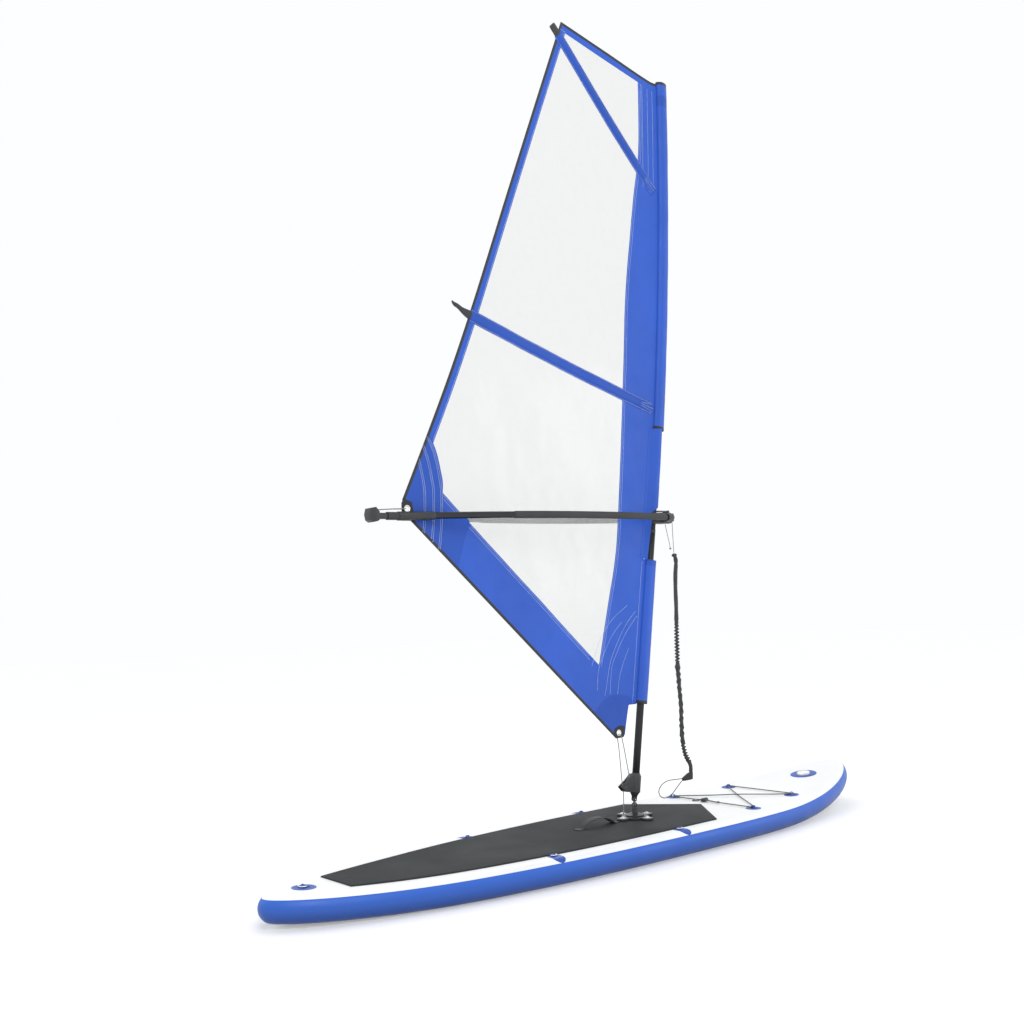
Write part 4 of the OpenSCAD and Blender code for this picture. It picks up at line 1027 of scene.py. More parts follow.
def build_downhaul():
    path = route(DOWNHAUL, 0.003)
    ob = dress(tube("downhaul", path, 0.002, M["line"], None, 10), "downhaul_line")
    stretch(ob, TAIL_LOW, TAIL_HIGH)
    lay_cord(ob, path, diameter=0.004, far_end="bare", stiffness="limp", lay="taut")


def ruffle(s, a):
    """Radius of the elastic rope at s metres from its top: sleeve, gathers, knot, twist, gathers, sleeve."""
    wobble = 0.0006 * math.sin(37 * s) * math.sin(2 * a + 11 * s)
    if s < 0.05:
        return 0.0072 + 0.0022 * math.exp(-((s - 0.028) / 0.012) ** 2) + wobble
    if s < 0.30:
        return 0.0093 + wobble + 0.0005 * math.sin(2 * a + 60 * s)
    if s < 0.49:
        grow = min(1.0, (s - 0.30) / 0.05)
        tooth = math.sin(math.tau * s / 0.0148 + a)
        return 0.0086 + grow * 0.0038 * math.copysign(abs(tooth) ** 0.7, tooth) + wobble
    if s < 0.54:
        bulge = math.exp(-((s - 0.514) / 0.012) ** 2)
        return 0.0084 + 0.0043 * bulge + 0.0006 * math.sin(3 * a + 300 * s)
    if s < 0.86:
        twist = math.sin(2 * a + math.tau * s / 0.034)
        lump = math.sin(math.tau * s / 0.023) * math.sin(a + 17 * s)
        return 0.0094 + 0.0013 * twist + 0.0011 * lump + wobble
    if s < 0.95:
        tooth = math.sin(math.tau * s / 0.0148 + a)
        return 0.0086 + 0.0038 * math.copysign(abs(tooth) ** 0.7, tooth) + wobble
    return 0.0092 + 0.0006 * math.sin(2 * a + 80 * s)


def build_uphaul():
    line, tail, loop = (route(points) for points in (UPHAUL_LINE, UPHAUL_TAIL, UPHAUL_LOOP))
    path = route(UPHAUL_ROPE, 0.0014)
    a = tube("uphaul_thin_line", line, 0.0015, M["line"], None, 10)
    b = tube("uphaul_short_tail", tail, 0.0015, M["line"], None, 10)
    for o in (a, b):
        dress(o, "uphaul_line")
    b_knot = knot("uphaul_tail_knot", tail[-1], 0.009, M["line"], None, 1)
    rope = dress(tube("uphaul_elastic_rope", path, ruffle, M["rope"], None, 24), "uphaul_rope")
    c = dress(tube("uphaul_end_loop", loop, 0.002, M["bungee"], None, 10), "uphaul_loop")
    top_knot = knot("uphaul_top_knot", P(2097, 0, 1240), 0.021, M["rope"], None, 2, 0.0042)
    cover = fitting_cover()
    for o in (a, b, b_knot, rope, c, top_knot, cover):
        stretch(o, BLEND_LOW, BLEND_HIGH)
    lay_cord(a, line, [top_knot], diameter=0.003, far_end="knot", stiffness="limp", lay="hanging")
    lay_cord(b, tail, [b_knot], diameter=0.003, far_end="knot", stiffness="limp", lay="hanging")
    lay_cord(rope, path, [cover], diameter=0.018, far_end="fitting", stiffness="medium", lay="hanging")
    lay_cord(c, loop, diameter=0.004, far_end="object", stiffness="medium", lay="hanging")


WEDGE = [
    (2133, 257), (2153, 257), (2152, 240), (2151, 223), (2120, 222), (2088, 223), (2085, 235), (2110, 247),
]


def fitting_cover():
    """The stitched end piece: a folded wedge of webbing that grips the rope and the loop."""
    ring = WEDGE
    layers = ((-7, 0.9), (-5, 1.0), (0, 1.02), (5, 1.0), (7, 0.9))
    n = len(ring)
    cx, cz = (sum(p[i] for p in ring) / n for i in (0, 1))
    verts = [P(cx + (x - cx) * f, y, cz + (z - cz) * f) for y, f in layers for x, z in ring]
    faces = net(len(layers), n) + caps(len(layers), n)
    ob = recalc(make("uphaul_end_piece", verts, faces, M["webbing"], None))
    sub = ob.modifiers.new("round", "SUBSURF")
    sub.levels = sub.render_levels = 2
    bev = ob.modifiers.new("edge", "BEVEL")
    bev.width = 0.001
    ob.modifiers.move(1, 0)
    return dress(bake(ob), "uphaul_fitting")


# ---------------------------------------------------------------- mast line and boom frame
FOOT_X, PIVOT_Z, LEAN, BEND_R, STRAIGHT_Z = 1770, 185, math.radians(9.1), 15500, 1352
BEND_X = FOOT_X + (STRAIGHT_Z - PIVOT_Z) * math.tan(LEAN) - BEND_R * math.cos(LEAN)
BEND_Z = STRAIGHT_Z + BEND_R * math.sin(LEAN)
BOOM_Z, BOOM_SLOPE = 1404, math.radians(1.15)


def bend_angle(z):
    return math.asin((z - BEND_Z) / BEND_R)


def mast_x(z):
    if z < STRAIGHT_Z:
        return FOOT_X + (z - PIVOT_Z) * math.tan(LEAN)
    return BEND_X + BEND_R * math.cos(bend_angle(z))


def mast_tilt(z):
    """Forward lean of the mast at a height, in radians."""
    return LEAN if z < STRAIGHT_Z else -bend_angle(z)


def on_mast(z):
    return Matrix.Translation(P(mast_x(z), 0, z)) @ Matrix.Rotation(mast_tilt(z), 4, "Y")


def boom_matrix():
    return Matrix.Translation(P(mast_x(BOOM_Z), 0, BOOM_Z)) @ Matrix.Rotation(-BOOM_SLOPE, 4, "Y")


def B(x, y, z):
    return boom_matrix() @ Vector((x / 1000, y / 1000, z / 1000))


def build_outhaul():
    path = spline([B(*p) for p in OUTHAUL], 0.003)
    ob = dress(tube("outhaul", path, 0.00175, M["line"], None, 10), "outhaul_line")
    tuple(B(-1450, 0, 22))
    tuple(B(-1352, 0, 27))
    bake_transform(ob)
    lay_cord(ob, path, diameter=0.0035, far_end="object", stiffness="limp", lay="taut")


# ---------------------------------------------------------------- the sail's flat pattern, in mm of X and Z
SLEEVE_FRONT, SLEEVE_BACK = 38, 28
SLEEVE_LOW, SLEEVE_HIGH = (590, 1217), (1808, 3450)
CUT_Z = (1325, 1465)
PEAK, KINK, CLEW, TACK = (1524, 3545), (2079, 3440), (636, 1405), (1694, 476)
LEECH = [(616, 1436), (728, 1667), (857, 1941), (988, 2243), (1168, 2684), (1322, 3058), PEAK]
FOOT = [(612, 1393), (650, 1362), (1160, 912), (1676, 455)]
LUFF_INNER = [
    (1998, 3435), (1983, 3094), (1935, 2850), (1864, 2425), (1831, 2105), (1802, 1834),
    (1762, 1479), (1721, 1217), (1651, 960), (1560, 640),
]
CLEW_CURVE = [
    (700, 1700), (760, 1670), (806, 1520), (810, 1413), (870, 1385), (929, 1370), (900, 1290), (800, 1000),
]
LOW_LINE, HIGH_LINE = [(700, 2250.4), (2300, 1819.2)], [(1300, 3683.3), (2300, 2686.8)]
FOOT_Z, SAIL_HEIGHT = 455, 3090
BATTENS = [[(965, 2179), (2000, 1900)], [(1500, 3484), (2070, 2916)]]
TAPE_W, FOOT_W, TACK_R, EYE_R, CLOTH = 38, 185, 165, 10.5, 0.9


def smooth(points, step=18):
    return [(p.x, p.y) for p in spline([Vector((x, z, 0)) for x, z in points], step)]


def seam(z):
    return (mast_x(z) - SLEEVE_BACK + 0.4, z)


def shifted(points, d):
    """A polyline moved sideways to its right by d."""
    pts = [Vector(p) for p in points]
    out = []
    for i, p in enumerate(pts):
        a = (pts[max(i, 1)] - pts[max(i, 1) - 1]).normalized()
        j = min(i + 1, len(pts) - 1)
        b = (pts[j] - pts[j - 1]).normalized()
        m, n = Vector((a.y, -a.x)), Vector((b.y, -b.x))
        u = (m + n).normalized()
        out.append(tuple(p + u * d / u.dot(m)))
    return out


def luff_edge():
    top = [seam(z) for z in steps(3440, SLEEVE_HIGH[0], 80)]
    mid = [(mast_x(z) - 21, z) for z in steps(SLEEVE_HIGH[0] - 2, CUT_Z[1], 18)]
    cut = [(mast_x(z) - 50, z) for z in steps(CUT_Z[1], CUT_Z[0], 8)]
    low = smooth([(mast_x(CUT_Z[0]) - 50, CUT_Z[0]), (1882, 1235), seam(SLEEVE_LOW[1])])[1:-1]
    last = [seam(z) for z in steps(SLEEVE_LOW[1], SLEEVE_LOW[0], 34)]
    return top + mid + cut + low + last + smooth([(1763, 590), (1731, 468)]) + [(1722, 458), (1712, FOOT_Z)]


def sail_outline():
    head = smooth([PEAK, (1800, 3494), KINK])[:-1]
    foot = list(reversed(smooth(FOOT)))
    return head + smooth([KINK, seam(3440)])[:-1] + luff_edge() + foot + smooth(LEECH)[:-1]


OUTLINE = sail_outline()
LEECH_IN = shifted(smooth(LEECH + [(1560, 3630)]), TAPE_W)
HEAD_IN = shifted([(1430, 3562.8), KINK, (2200, 3446)], TAPE_W)
FOOT_IN = shifted([(1810, 336), (1160, 912), (500, 1494)], FOOT_W)
LUFF_IN = smooth([(1998, 3700)] + LUFF_INNER, 24)
CLEW_IN = smooth(CLEW_CURVE)


def inside(p, poly):
    x, z = p
    hit = False
    for (ax, az), (bx, bz) in zip(poly, poly[-1:] + poly[:-1]):
        if (az > z) != (bz > z) and x < (bx - ax) * (z - az) / (bz - az) + ax:
            hit = not hit
    return hit


def above(line, p):
    (ax, az), (bx, bz) = line
    return p[1] > az + (bz - az) * (p[0] - ax) / (bx - ax)


CLEW_ZONE = [(500, 1200), (500, 1760)] + CLEW_IN
FOOT_ZONE = FOOT_IN + [(300, 1300), (300, 200), (1810, 200)]
LEECH_ZONE = LEECH_IN + [(1500, 3700), (300, 3700), (300, 1400)]
HEAD_ZONE = HEAD_IN + [(2300, 3700), (1400, 3700)]
LUFF_ZONE = LUFF_IN + [(1560, 400), (2300, 400), (2300, 3700)]


def zone(p):
    near = min(math.dist(p, CLEW), math.dist(p, TACK))
    if near < EYE_R or not inside(p, OUTLINE):
        return None
    if math.dist(p, TACK) < TACK_R or inside(p, CLEW_ZONE):
        return "patch"
    if inside(p, FOOT_ZONE):
        return "foot"
    if inside(p, LEECH_ZONE) or inside(p, HEAD_ZONE):
        return "tape"
    if inside(p, LUFF_ZONE):
        return "luff"
    if above(HIGH_LINE, p):
        return "top"
    return "middle" if above(LOW_LINE, p) else "lower"


def chord(x, z):
    """How far a point is from the luff to the back edge, 0 to 1."""
    front = mast_x(max(z, FOOT_Z)) - SLEEVE_BACK
    back = at_height(LEECH if z > CLEW[1] else FOOT, z)
    return min(1.0, max(0.0, (front - x) / max(front - back, 1)))


def at_height(line, z):
    pts = sorted(line, key=lambda p: p[1])
    for (ax, az), (bx, bz) in zip(pts, pts[1:]):
        if az <= z <= bz:
            return ax + (bx - ax) * (z - az) / max(bz - az, 1e-6)
    return pts[0][0] if z < pts[0][1] else pts[-1][0]


BELLY = 13


def camber(x, z):
    """Sideways set of the sail in millimetres: a shallow belly with the pulls of the corners."""
    u = chord(x, z)
    h = min(1.0, max(0.0, (z - FOOT_Z) / SAIL_HEIGHT))
    belly = BELLY * math.sin(math.pi * u ** 0.8) * math.sin(math.pi * h ** 0.9) ** 0.7
    free = min(1.0, 4 * u) * min(1.0, 4 * (1 - u)) * min(1.0, 5 * h) * min(1.0, 6 * (1 - h))
    fan = 0.0
    for corner, folds, fade in ((CLEW, 18, 420), (TACK, 16, 380)):
        d = math.dist((x, z), corner)
        folded = math.sin(folds * math.atan2(z - corner[1], x - corner[0]))
        fan += folded * math.exp(-d / fade) * min(1, d / 120)
    soft = noise.fractal(Vector((x * 0.0042 + z * 0.0016, z * 0.0017, 3.1)), 0.9, 2.0, 4)
    fine = noise.noise(Vector((x * 0.019, z * 0.006, 7.7)))
    return belly + free * (1.6 * fan + 3.2 * soft + 0.8 * fine)


def sail_mesh():
    """One triangulation of the whole pattern, so that panels share their seams."""
    pts, edges = [], []

    def line(points, closed=False):
        first = len(pts)
        pts.extend(Vector(p) for p in points)
        n = len(points)
        for i in range(n if closed else n - 1):
            edges.append((first + i, first + (i + 1) % n))

    line(OUTLINE, True)
    for part in (LEECH_IN, HEAD_IN, FOOT_IN, LUFF_IN, CLEW_IN):
        line(refined(part, 18))
    for part in (LOW_LINE, HIGH_LINE):
        line(refined(part, 20))
    line(circle(TACK_R, 60, TACK), True)
    for c in (CLEW, TACK):
        line(circle(EYE_R, 24, c), True)
    # a grid of near-equal triangles between the lines, with no point close to one of theirs
    taken = {}
    cell, mesh, near = 12, 18, 9
    low, high, rear, front = 440, 3560, 600, 2140
    for p in pts:
        taken.setdefault((int(p.x // cell), int(p.y // cell)), []).append(p)
    around = [(i, j) for i in (-1, 0, 1) for j in (-1, 0, 1)]
    for row in range(int((high - low) / (mesh * 0.866)) + 1):
        z = low + row * mesh * 0.866
        for col in range(int((front - rear) / mesh) + 1):
            x = rear + col * mesh + (mesh / 2 if row % 2 else 0)
            if not inside((x, z), OUTLINE):
                continue
            ci, cj = int(x // cell), int(z // cell)
            close = (q for i, j in around for q in taken.get((ci + i, cj + j), ()))
            if not any(math.dist((x, z), q) < near for q in close):
                pts.append(Vector((x, z)))
    out = delaunay_2d_cdt(pts, edges, [], 0, 0.01)
    return [(v.x, v.y) for v in out[0]], out[2]


def refined(points, step):
    out = []
    for a, b in zip(points, points[1:]):
        n = max(1, round(math.dist(a, b) / step))
        out += [(a[0] + (b[0] - a[0]) * k / n, a[1] + (b[1] - a[1]) * k / n) for k in range(n)]
    return out + [points[-1]]


def middle(pts, tri):
    return tuple(sum(pts[i][axis] for i in tri) / 3 for axis in (0, 1))


def doubled_area(pts, tri):
    (ax, az), (bx, bz), (cx, cz) = (pts[i] for i in tri)
    return (bx - ax) * (cz - az) - (cx - ax) * (bz - az)


def flat_area(pts, tris):
    """Area of the pattern in square metres."""
    return sum(abs(doubled_area(pts, t)) / 2 for t in tris) / 1e6


def thick_sheet(name, pts, tris, lift, thick, mat):
    """A closed thin solid from a flat pattern: lift gives its sideways set in millimetres."""
    used = sorted({i for t in tris for i in t})
    index = {v: k for k, v in enumerate(used)}
    n = len(used)
    set_ = [lift(*pts[i]) for i in used]
    verts = [P(pts[i][0], y + half, pts[i][1])
             for half in (-thick / 2, thick / 2) for i, y in zip(used, set_)]
    faces, count = [], {}
    for t in tris:
        a, b, c = (index[i] for i in t)
        if doubled_area(pts, t) < 0:
            b, c = c, b
        faces += [(a, b, c), (a + n, c + n, b + n)]
        for e in ((a, b), (b, c), (c, a)):
            count[e] = 1
    for a, b in list(count):
        if (b, a) not in count:
            faces.append((b, a, a + n, b + n))
    return crease(make(name, verts, faces, mat, "rig"), 50)


PANELS = {
    "luff": ("sail_luff_panel", "luff_panel", "sail", CLOTH, "sail_blue"),
    "foot": ("sail_foot_panel", "foot_panel", "sail", CLOTH, "sail_blue"),
    "tape": ("sail_edge_tapes", "sail_tapes", "sail", CLOTH, "sail_blue"),
    "patch": ("sail_corner_patches", "corner_patches", "sail_dark", CLOTH + 0.5, "patch_dark_blue"),
    "top": ("sail_window_top", "window_top", "film", 0.5, "film_clear"),
    "middle": ("sail_window_middle", "window_middle", "film", 0.5, "film_clear"),
    "lower": ("sail_window_lower", "window_lower", "film", 0.5, "film_clear"),
}


# flat sizes in metres of the panels that are curved or narrow; the two others are as large as their own box
FLATS = {
    "tape": (TAPE_W / 1000, 2.85), "patch": (0.42, 0.46), "foot": (FOOT_W / 1000, 1.2),
    "luff": (0.36, 2.98), "lower": (0.86, 1.24),
}


def build_sail():
    pts, faces = sail_mesh()
    groups = {k: [] for k in PANELS}
    for f in faces:
        k = zone(middle(pts, f))
        if k:
            groups[k].append(tuple(f))
    for k, (name, node, mat, thick, slot_name) in PANELS.items():
        tris = groups[k]
        ob = dress(thick_sheet(name, pts, tris, camber, thick, M[mat]), node)
        sides = [[pts[i][axis] for t in tris for i in t] for axis in (0, 1)]
        flat = FLATS.get(k, tuple((max(v) - min(v)) / 1000 for v in sides))
        area = min(flat_area(pts, tris), flat[0] * flat[1])


# ---------------------------------------------------------------- strips and seams on the sail
def on_sail(points, side, gap=0.0):
    """A line on the sail's face: (point, outward normal), side is -1 for starboard."""
    out = []
    for x, z in points:
        e = 3
        y = camber(x, z)
        nx = -(camber(x + e, z) - camber(x - e, z)) / (2 * e)
        nz = -(camber(x, z + e) - camber(x, z - e)) / (2 * e)
        nrm = Vector((nx, 1, nz)).normalized() * side
        out.append((P(x, y + side * (CLOTH / 2 + gap), z), nrm))
    return out


def runs_in(points, test):
    """The runs of a line whose points pass the test."""
    runs, run = [], []
    for p in points:
        if test(p):
            run.append(p)
        elif run:
            runs.append(run)
            run = []
    if run:
        runs.append(run)
    return [r for r in runs if len(r) > 2]


def in_sail(points):
    return runs_in(points, lambda p: inside(p, OUTLINE))


def edge_binding(name, points):
    """A folded strip that wraps an edge of the sail."""
    width, h, over = 11, 1.0, 1.6
    path = refined(points, 14)
    inner = shifted(path, width)
    verts, uvs = [], []
    s = 0.0
    for i, (p, q) in enumerate(zip(path, inner)):
        if i:
            s += math.dist(path[i - 1], p)
        d = Vector((q[0] - p[0], q[1] - p[1])).normalized()
        y0, y1 = camber(*p), camber(*q)
        root = CLOTH / 2 + 0.1
        prof = [(width, y1 + root), (width * 0.95, y1 + h), (0.8, y0 + h), (-over * 0.7, y0 + h * 0.7)]
        prof += [(-over, y0), (-over * 0.7, y0 - h * 0.7), (0.8, y0 - h), (width * 0.95, y1 - h)]
        prof.append((width, y1 - root))
        for a, y in prof:
            verts.append(P(p[0] + d.x * a, y, p[1] + d.y * a))
            uvs.append((a / 1000, s / 1000))
    faces = net(len(path), 9) + caps(len(path), 9)
    recalc(make(name, verts, faces, M["binding"], "rig", uvs=uvs))


def build_bindings():
    edge_binding("binding_leech", smooth(LEECH))
    edge_binding("binding_head", smooth([PEAK, (1800, 3494), KINK, seam(3440)]))
    edge_binding("binding_foot", list(reversed(smooth(FOOT[1:]))))


# a pocket's section as (across, height); a batten's as (across, towards starboard)
POCKET = [
    (-26, 0.1), (-26, 0.9), (-17, 1.3), (-12.5, 4.4), (-8, 5.2), (0, 5.4), (8, 5.2), (12.5, 4.4), (17, 1.3),
    (26, 0.9), (26, 0.1),
]
BATTEN = [(-10, 0), (-10, 2.6), (10, 2.6), (10, 0)]


def build_pocket(k, line):
    """A long pocket on the starboard face with the batten's ridge showing."""
    (ax, az), (bx, bz) = line
    run = Vector((bx - ax, bz - az))
    length = run.length
    d = run / length
    side = Vector((-d.y, d.x))
    n = int(length / 14)
    verts, uvs = [], []
    for s in steps(0, length, n):
        for a, h in POCKET:
            x, z = ax + d.x * s + side.x * a, az + d.y * s + side.y * a
            ripple = 0.35 * noise.noise(Vector((s * 0.02, a * 0.06, k))) * min(1.0, h)
            verts.append(P(x, camber(x, z) - CLOTH / 2 - h - ripple, z))
            uvs.append((a / 1000, s / 1000))
    ob = solid(f"batten_pocket_{k}", verts, len(POCKET), M["sail_dark"], "rig", 40, uvs)
    dress(ob, "sail_tapes")
    # the batten itself, inside
    verts = []
    for s in steps(6, length - 12, n):
        x, z = ax + d.x * s, az + d.y * s
        y = camber(x, z) - CLOTH / 2 - 1.0
        verts += [P(x + side.x * a, y - h, z + side.y * a) for a, h in BATTEN]
    dress(solid(f"batten_{k}", verts, len(BATTEN), M["batten"], "rig", 30), "battens")
    batten_cap(k, Vector((ax, az)), d, side, (CAP_TAIL, CAP_BLOCK)[k - 1])
    rows = [[(ax + d.x * s + side.x * a, az + d.y * s + side.y * a) for s in steps(6, length - 6, 90)]
            for a in (-22, 22)]
    end = Vector((bx, bz))
    fans = [[tuple(end - d * (8 + 70 * t) + side * (off * (1 - 0.5 * t))) for t in steps(0, 1, 8)]
            for off in (-16, 0, 16)]
    out = [[(p + nrm * 0.0005, nrm) for p, nrm in on_sail(r, -1, 0.9)] for r in rows]
    return out + [on_sail(r, -1, 5.2) for r in fans]


# stations of a batten's cap: (along, across, half width)
CAP_TAIL = [
    (3, 0, 16), (-10, 0, 16.5), (-22, 1, 14.5), (-34, 2.5, 12), (-46, 5, 10), (-58, 9, 8.6), (-70, 11.5, 8),
    (-80, 12, 7.6), (-88, 14, 5.4), (-94, 17, 4), (-95.5, 20, 1.6),
]
CAP_BLOCK = [(3, 0, 16.5), (0, 0, 17), (-20, 0, 17), (-40, 0, 16.4), (-45, 0, 14.6), (-46, 0, 12.2)]
CAP_SECTION = [
    (-1, -4), (-1, 3.5), (-0.82, 6), (-0.35, 7.2), (0.35, 7.2), (0.82, 6), (1, 3.5), (1, -4), (0.7, -5.6),
    (-0.7, -5.6),
]


def batten_cap(k, at, d, side, spine):
    """The end cap at the leech, with rounded corners."""
    verts = []
    for s, mid, wide in spine:
        f = min(1.0, 0.45 + wide / 28)
        for a, h in CAP_SECTION:
            x, z = at + d * s + side * (mid + a * wide)
            verts.append(P(x, -1 - h * f, z))
    ob = solid(f"batten_cap_{k}", verts, len(CAP_SECTION), M["black"], "rig", 35)
    dress(ob, "batten_caps")


CLEW_BLACK = [(612, 1393), (640, 1371), (656, 1376), (664, 1400), (658, 1430), (622, 1442), (612, 1425)]
TACK_BLACK = [
    (1664, 466), (1676, 455), (1712, 455), (1722, 458), (1728, 476), (1733, 500), (1700, 508), (1668, 496),
]


def corner_black(name, outline, hole):
    """A doubled black reinforcement at a corner, with a hole for the eyelet."""
    n, m = len(outline), 32
    edges = [(i, (i + 1) % n) for i in range(n)] + [(n + i, n + (i + 1) % m) for i in range(m)]
    out = delaunay_2d_cdt([Vector(p) for p in outline + circle(11.5, m, hole)], edges, [], 0, 0.01)
    flat = [(v.x, v.y) for v in out[0]]
    tris = []
    for f in out[2]:
        c = middle(flat, f)
        if inside(c, outline) and math.dist(c, hole) > 11:
            tris.append(tuple(f))
    dress(thick_sheet(name, flat, tris, camber, 3.2, M["webbing"]), "corner_patches")


def build_eyelets():
    for name, (x, z) in (("clew", CLEW), ("tack", TACK)):
        m = Matrix.Translation(P(x, camber(x, z), z)) @ Matrix.Rotation(math.pi / 2, 4, "X")
        prof = [(0.0118 + 0.0028 * math.cos(a), 0.0024 * math.sin(a)) for a in steps(0, math.tau, 20)[:-1]]
        ob = lathe(f"eyelet_{name}", prof, m, M["steel"], "rig", 64, closed=True)
        dress(ob, "sail_eyelets")
    corner_black("clew_black", CLEW_BLACK, CLEW)
    corner_black("tack_black", TACK_BLACK, TACK)


TACK_FAN = [
    [(1625, 642), (1644, 707), (1669, 785), (1719, 870), (1781, 948), (1831, 993)],
    [(1656, 648), (1675, 759), (1719, 837), (1769, 902), (1838, 973)],
    [(1581, 668), (1594, 752), (1631, 817), (1681, 889), (1744, 947)],
    [(1700, 642), (1719, 720), (1750, 785), (1781, 837)],
    [(1556, 772), (1606, 869), (1681, 954), (1781, 1019)],
]
CLEW_ARC = [(700, 1705), (760, 1670), (806, 1520), (810, 1413), (802, 1330), (786, 1235)]


def build_seams():
    """Pale zigzag stitching along every seam, on both faces."""
    rows = []
    seams = ((LEECH_IN, -5, "tape"), (HEAD_IN, -5, "tape"), (FOOT_IN, -6, "foot"), (FOOT_IN, -16, "foot"),
             (LUFF_IN, -6, "luff"), (LUFF_IN, -16, "luff"))
    for line, gap, where in seams:
        ahead = math.inf if where == "luff" else 1545
        rows += runs_in(refined(shifted(line, gap), 12), lambda p: zone(p) == where and p[0] < ahead)
    for off in (30, 62, 96):
        high = [(mast_x(z) - SLEEVE_BACK - off, z) for z in steps(2930, 3425, 60)]
        rows += runs_in(high, lambda p: zone(p) == "luff")
    rows.append([(mast_x(z) - SLEEVE_BACK - 22, z) for z in steps(SLEEVE_LOW[0] + 10, SLEEVE_LOW[1] - 5, 50)])
    corner = []
    for fan in TACK_FAN:
        rows += in_sail(refined(smooth(fan), 12))
    arc = smooth(CLEW_ARC)
    for off in (8, 16, 46, 54, 88, 96):
        corner += in_sail(refined(shifted(arc, off), 10))
    for side, tag in ((-1, "starboard"), (1, "port")):
        lines = [on_sail(r, side) for r in rows]
        extra = [on_sail(r, side, 0.3) for r in corner]
        stitches(f"sail_stitching_{tag}", lines, "rig", 0.0055, 0.0007, zigzag=0.7, reach=0.55)
        stitches(f"corner_stitching_{tag}", extra, "rig", 0.005, 0.0007, zigzag=0.6, reach=0.55)


# the flap's sideways set across its width, and its rear and front edges ahead of the mast's line at heights
FLAP_SECTION = [
    (0.0, -0.8), (0.16, -2.2), (0.32, -6.5), (0.48, -12.5), (0.62, -17.0), (0.78, -19.0), (0.92, -18.6),
    (1.0, -17.2),
]
FLAP_BACK = [(1217, -32), (1235, -62), (1325, -58), (1812, -56)]
FLAP_FRONT = [(1217, -27), (1372, -19.5), (1432, -19.5), (1450, 12), (1812, 12)]


def between(table, v):
    """Straight-line reading of a table of (place, value)."""
    for (a, ya), (b, yb) in zip(table, table[1:]):
        if v <= b:
            return ya + (yb - ya) * max(0.0, v - a) / (b - a)
    return table[-1][1]


def build_flap():
    """The free edge of the luff, lapped round the mast between the two sleeves."""
    pts, tris, width = [], [], 16
    rows = steps(1219, 1811, 74)
    for z in rows:
        back, front = between(FLAP_BACK, z), between(FLAP_FRONT, z)
        pts += [(mast_x(z) + x, z) for x in steps(back, front, width)]
    for a, b, c, d in net(len(rows), width + 1, loop=False):
        tris += [(a, d, c), (a, c, b)]

    def lift(x, z):
        u = min(1.0, max(0.0, (x - mast_x(z) + 56) / 68))
        ripple = noise.noise(Vector((x * 0.02, z * 0.009, 4.4)))
        return between(FLAP_SECTION, u) + camber(mast_x(z) - 60, z) * (1 - u) + 0.9 * ripple * u

    ob = dress(thick_sheet("luff_flap", pts, tris, lift, CLOTH, M["sail"]), None)
    wrap = 1.12  # it curves round the mast, so it is wider than its pattern
    flat_area(pts, tris) * wrap


# ---------------------------------------------------------------- luff sleeves
# bands of another cloth as (from, to, which): 1 the darker cloth, 2 the binding
LOW_BANDS = ((590, 606, 2), (1188, 1217, 1))
HIGH_BANDS = ((1808, 1820, 2), (3335, 3385, 1), (3436, 3450, 2))


def sleeve(name, node, z0, z1, bands):
    """A loose tapered tube of cloth round the mast, pointed ahead and seamed behind."""
    n = 44
    rings = int((z1 - z0) / 13)
    verts, uvs, faces, kinds = [], [], [], []

    def at(z, a, wall):
        x = SLEEVE_FRONT * math.cos(a) if math.cos(a) > 0 else SLEEVE_BACK * math.cos(a)
        y = 18.6 * math.copysign(abs(math.sin(a)) ** 1.1, math.sin(a))
        wave = noise.noise(Vector((math.cos(a) * 1.1, math.sin(a) * 1.1, z * 0.011)))
        pull = noise.noise(Vector((math.cos(a) * 0.7 + z * 0.004, math.sin(a) * 2.2, z * 0.003)))
        edge = abs(math.sin(a))
        x += 1.2 * wave * edge - wall * math.cos(a)
        y += (1.4 * wave + 2.0 * pull) * edge * 0.6 * math.copysign(1, math.sin(a)) - wall * math.sin(a)
        return on_mast(z) @ Vector((x / 1000, y / 1000, 0))

    for wall in (0.0, CLOTH):
        for z in steps(z0, z1, rings):
            for k in range(n):
                verts.append(at(z, math.tau * k / n, wall))
                uvs.append((k / n, z / 1000))
    half = (rings + 1) * n
    for base, flip in ((0, False), (half, True)):
        for i in range(rings):
            z = z0 + (z1 - z0) * (i + 0.5) / rings
            kind = 0
            for lo, hi, which in bands:
                if lo <= z <= hi:
                    kind = which
            for k in range(n):
                q = (k + 1) % n
                f = (base + i * n + k, base + i * n + q, base + (i + 1) * n + q, base + (i + 1) * n + k)
                faces.append(tuple(reversed(f)) if flip else f)
                kinds.append(kind)
    for i, flip in ((0, True), (rings, False)):
        for k in range(n):
            q = (k + 1) % n
            f = (i * n + k, i * n + q, half + i * n + q, half + i * n + k)
            faces.append(tuple(reversed(f)) if flip else f)
            kinds.append(2)
    looks = [M["sail"], M["sail_dark"], M["binding"]]
    ob = recalc(make(name, verts, faces, None, "rig", uvs=uvs, mats=looks, face_mats=kinds))
    dress(ob, node)


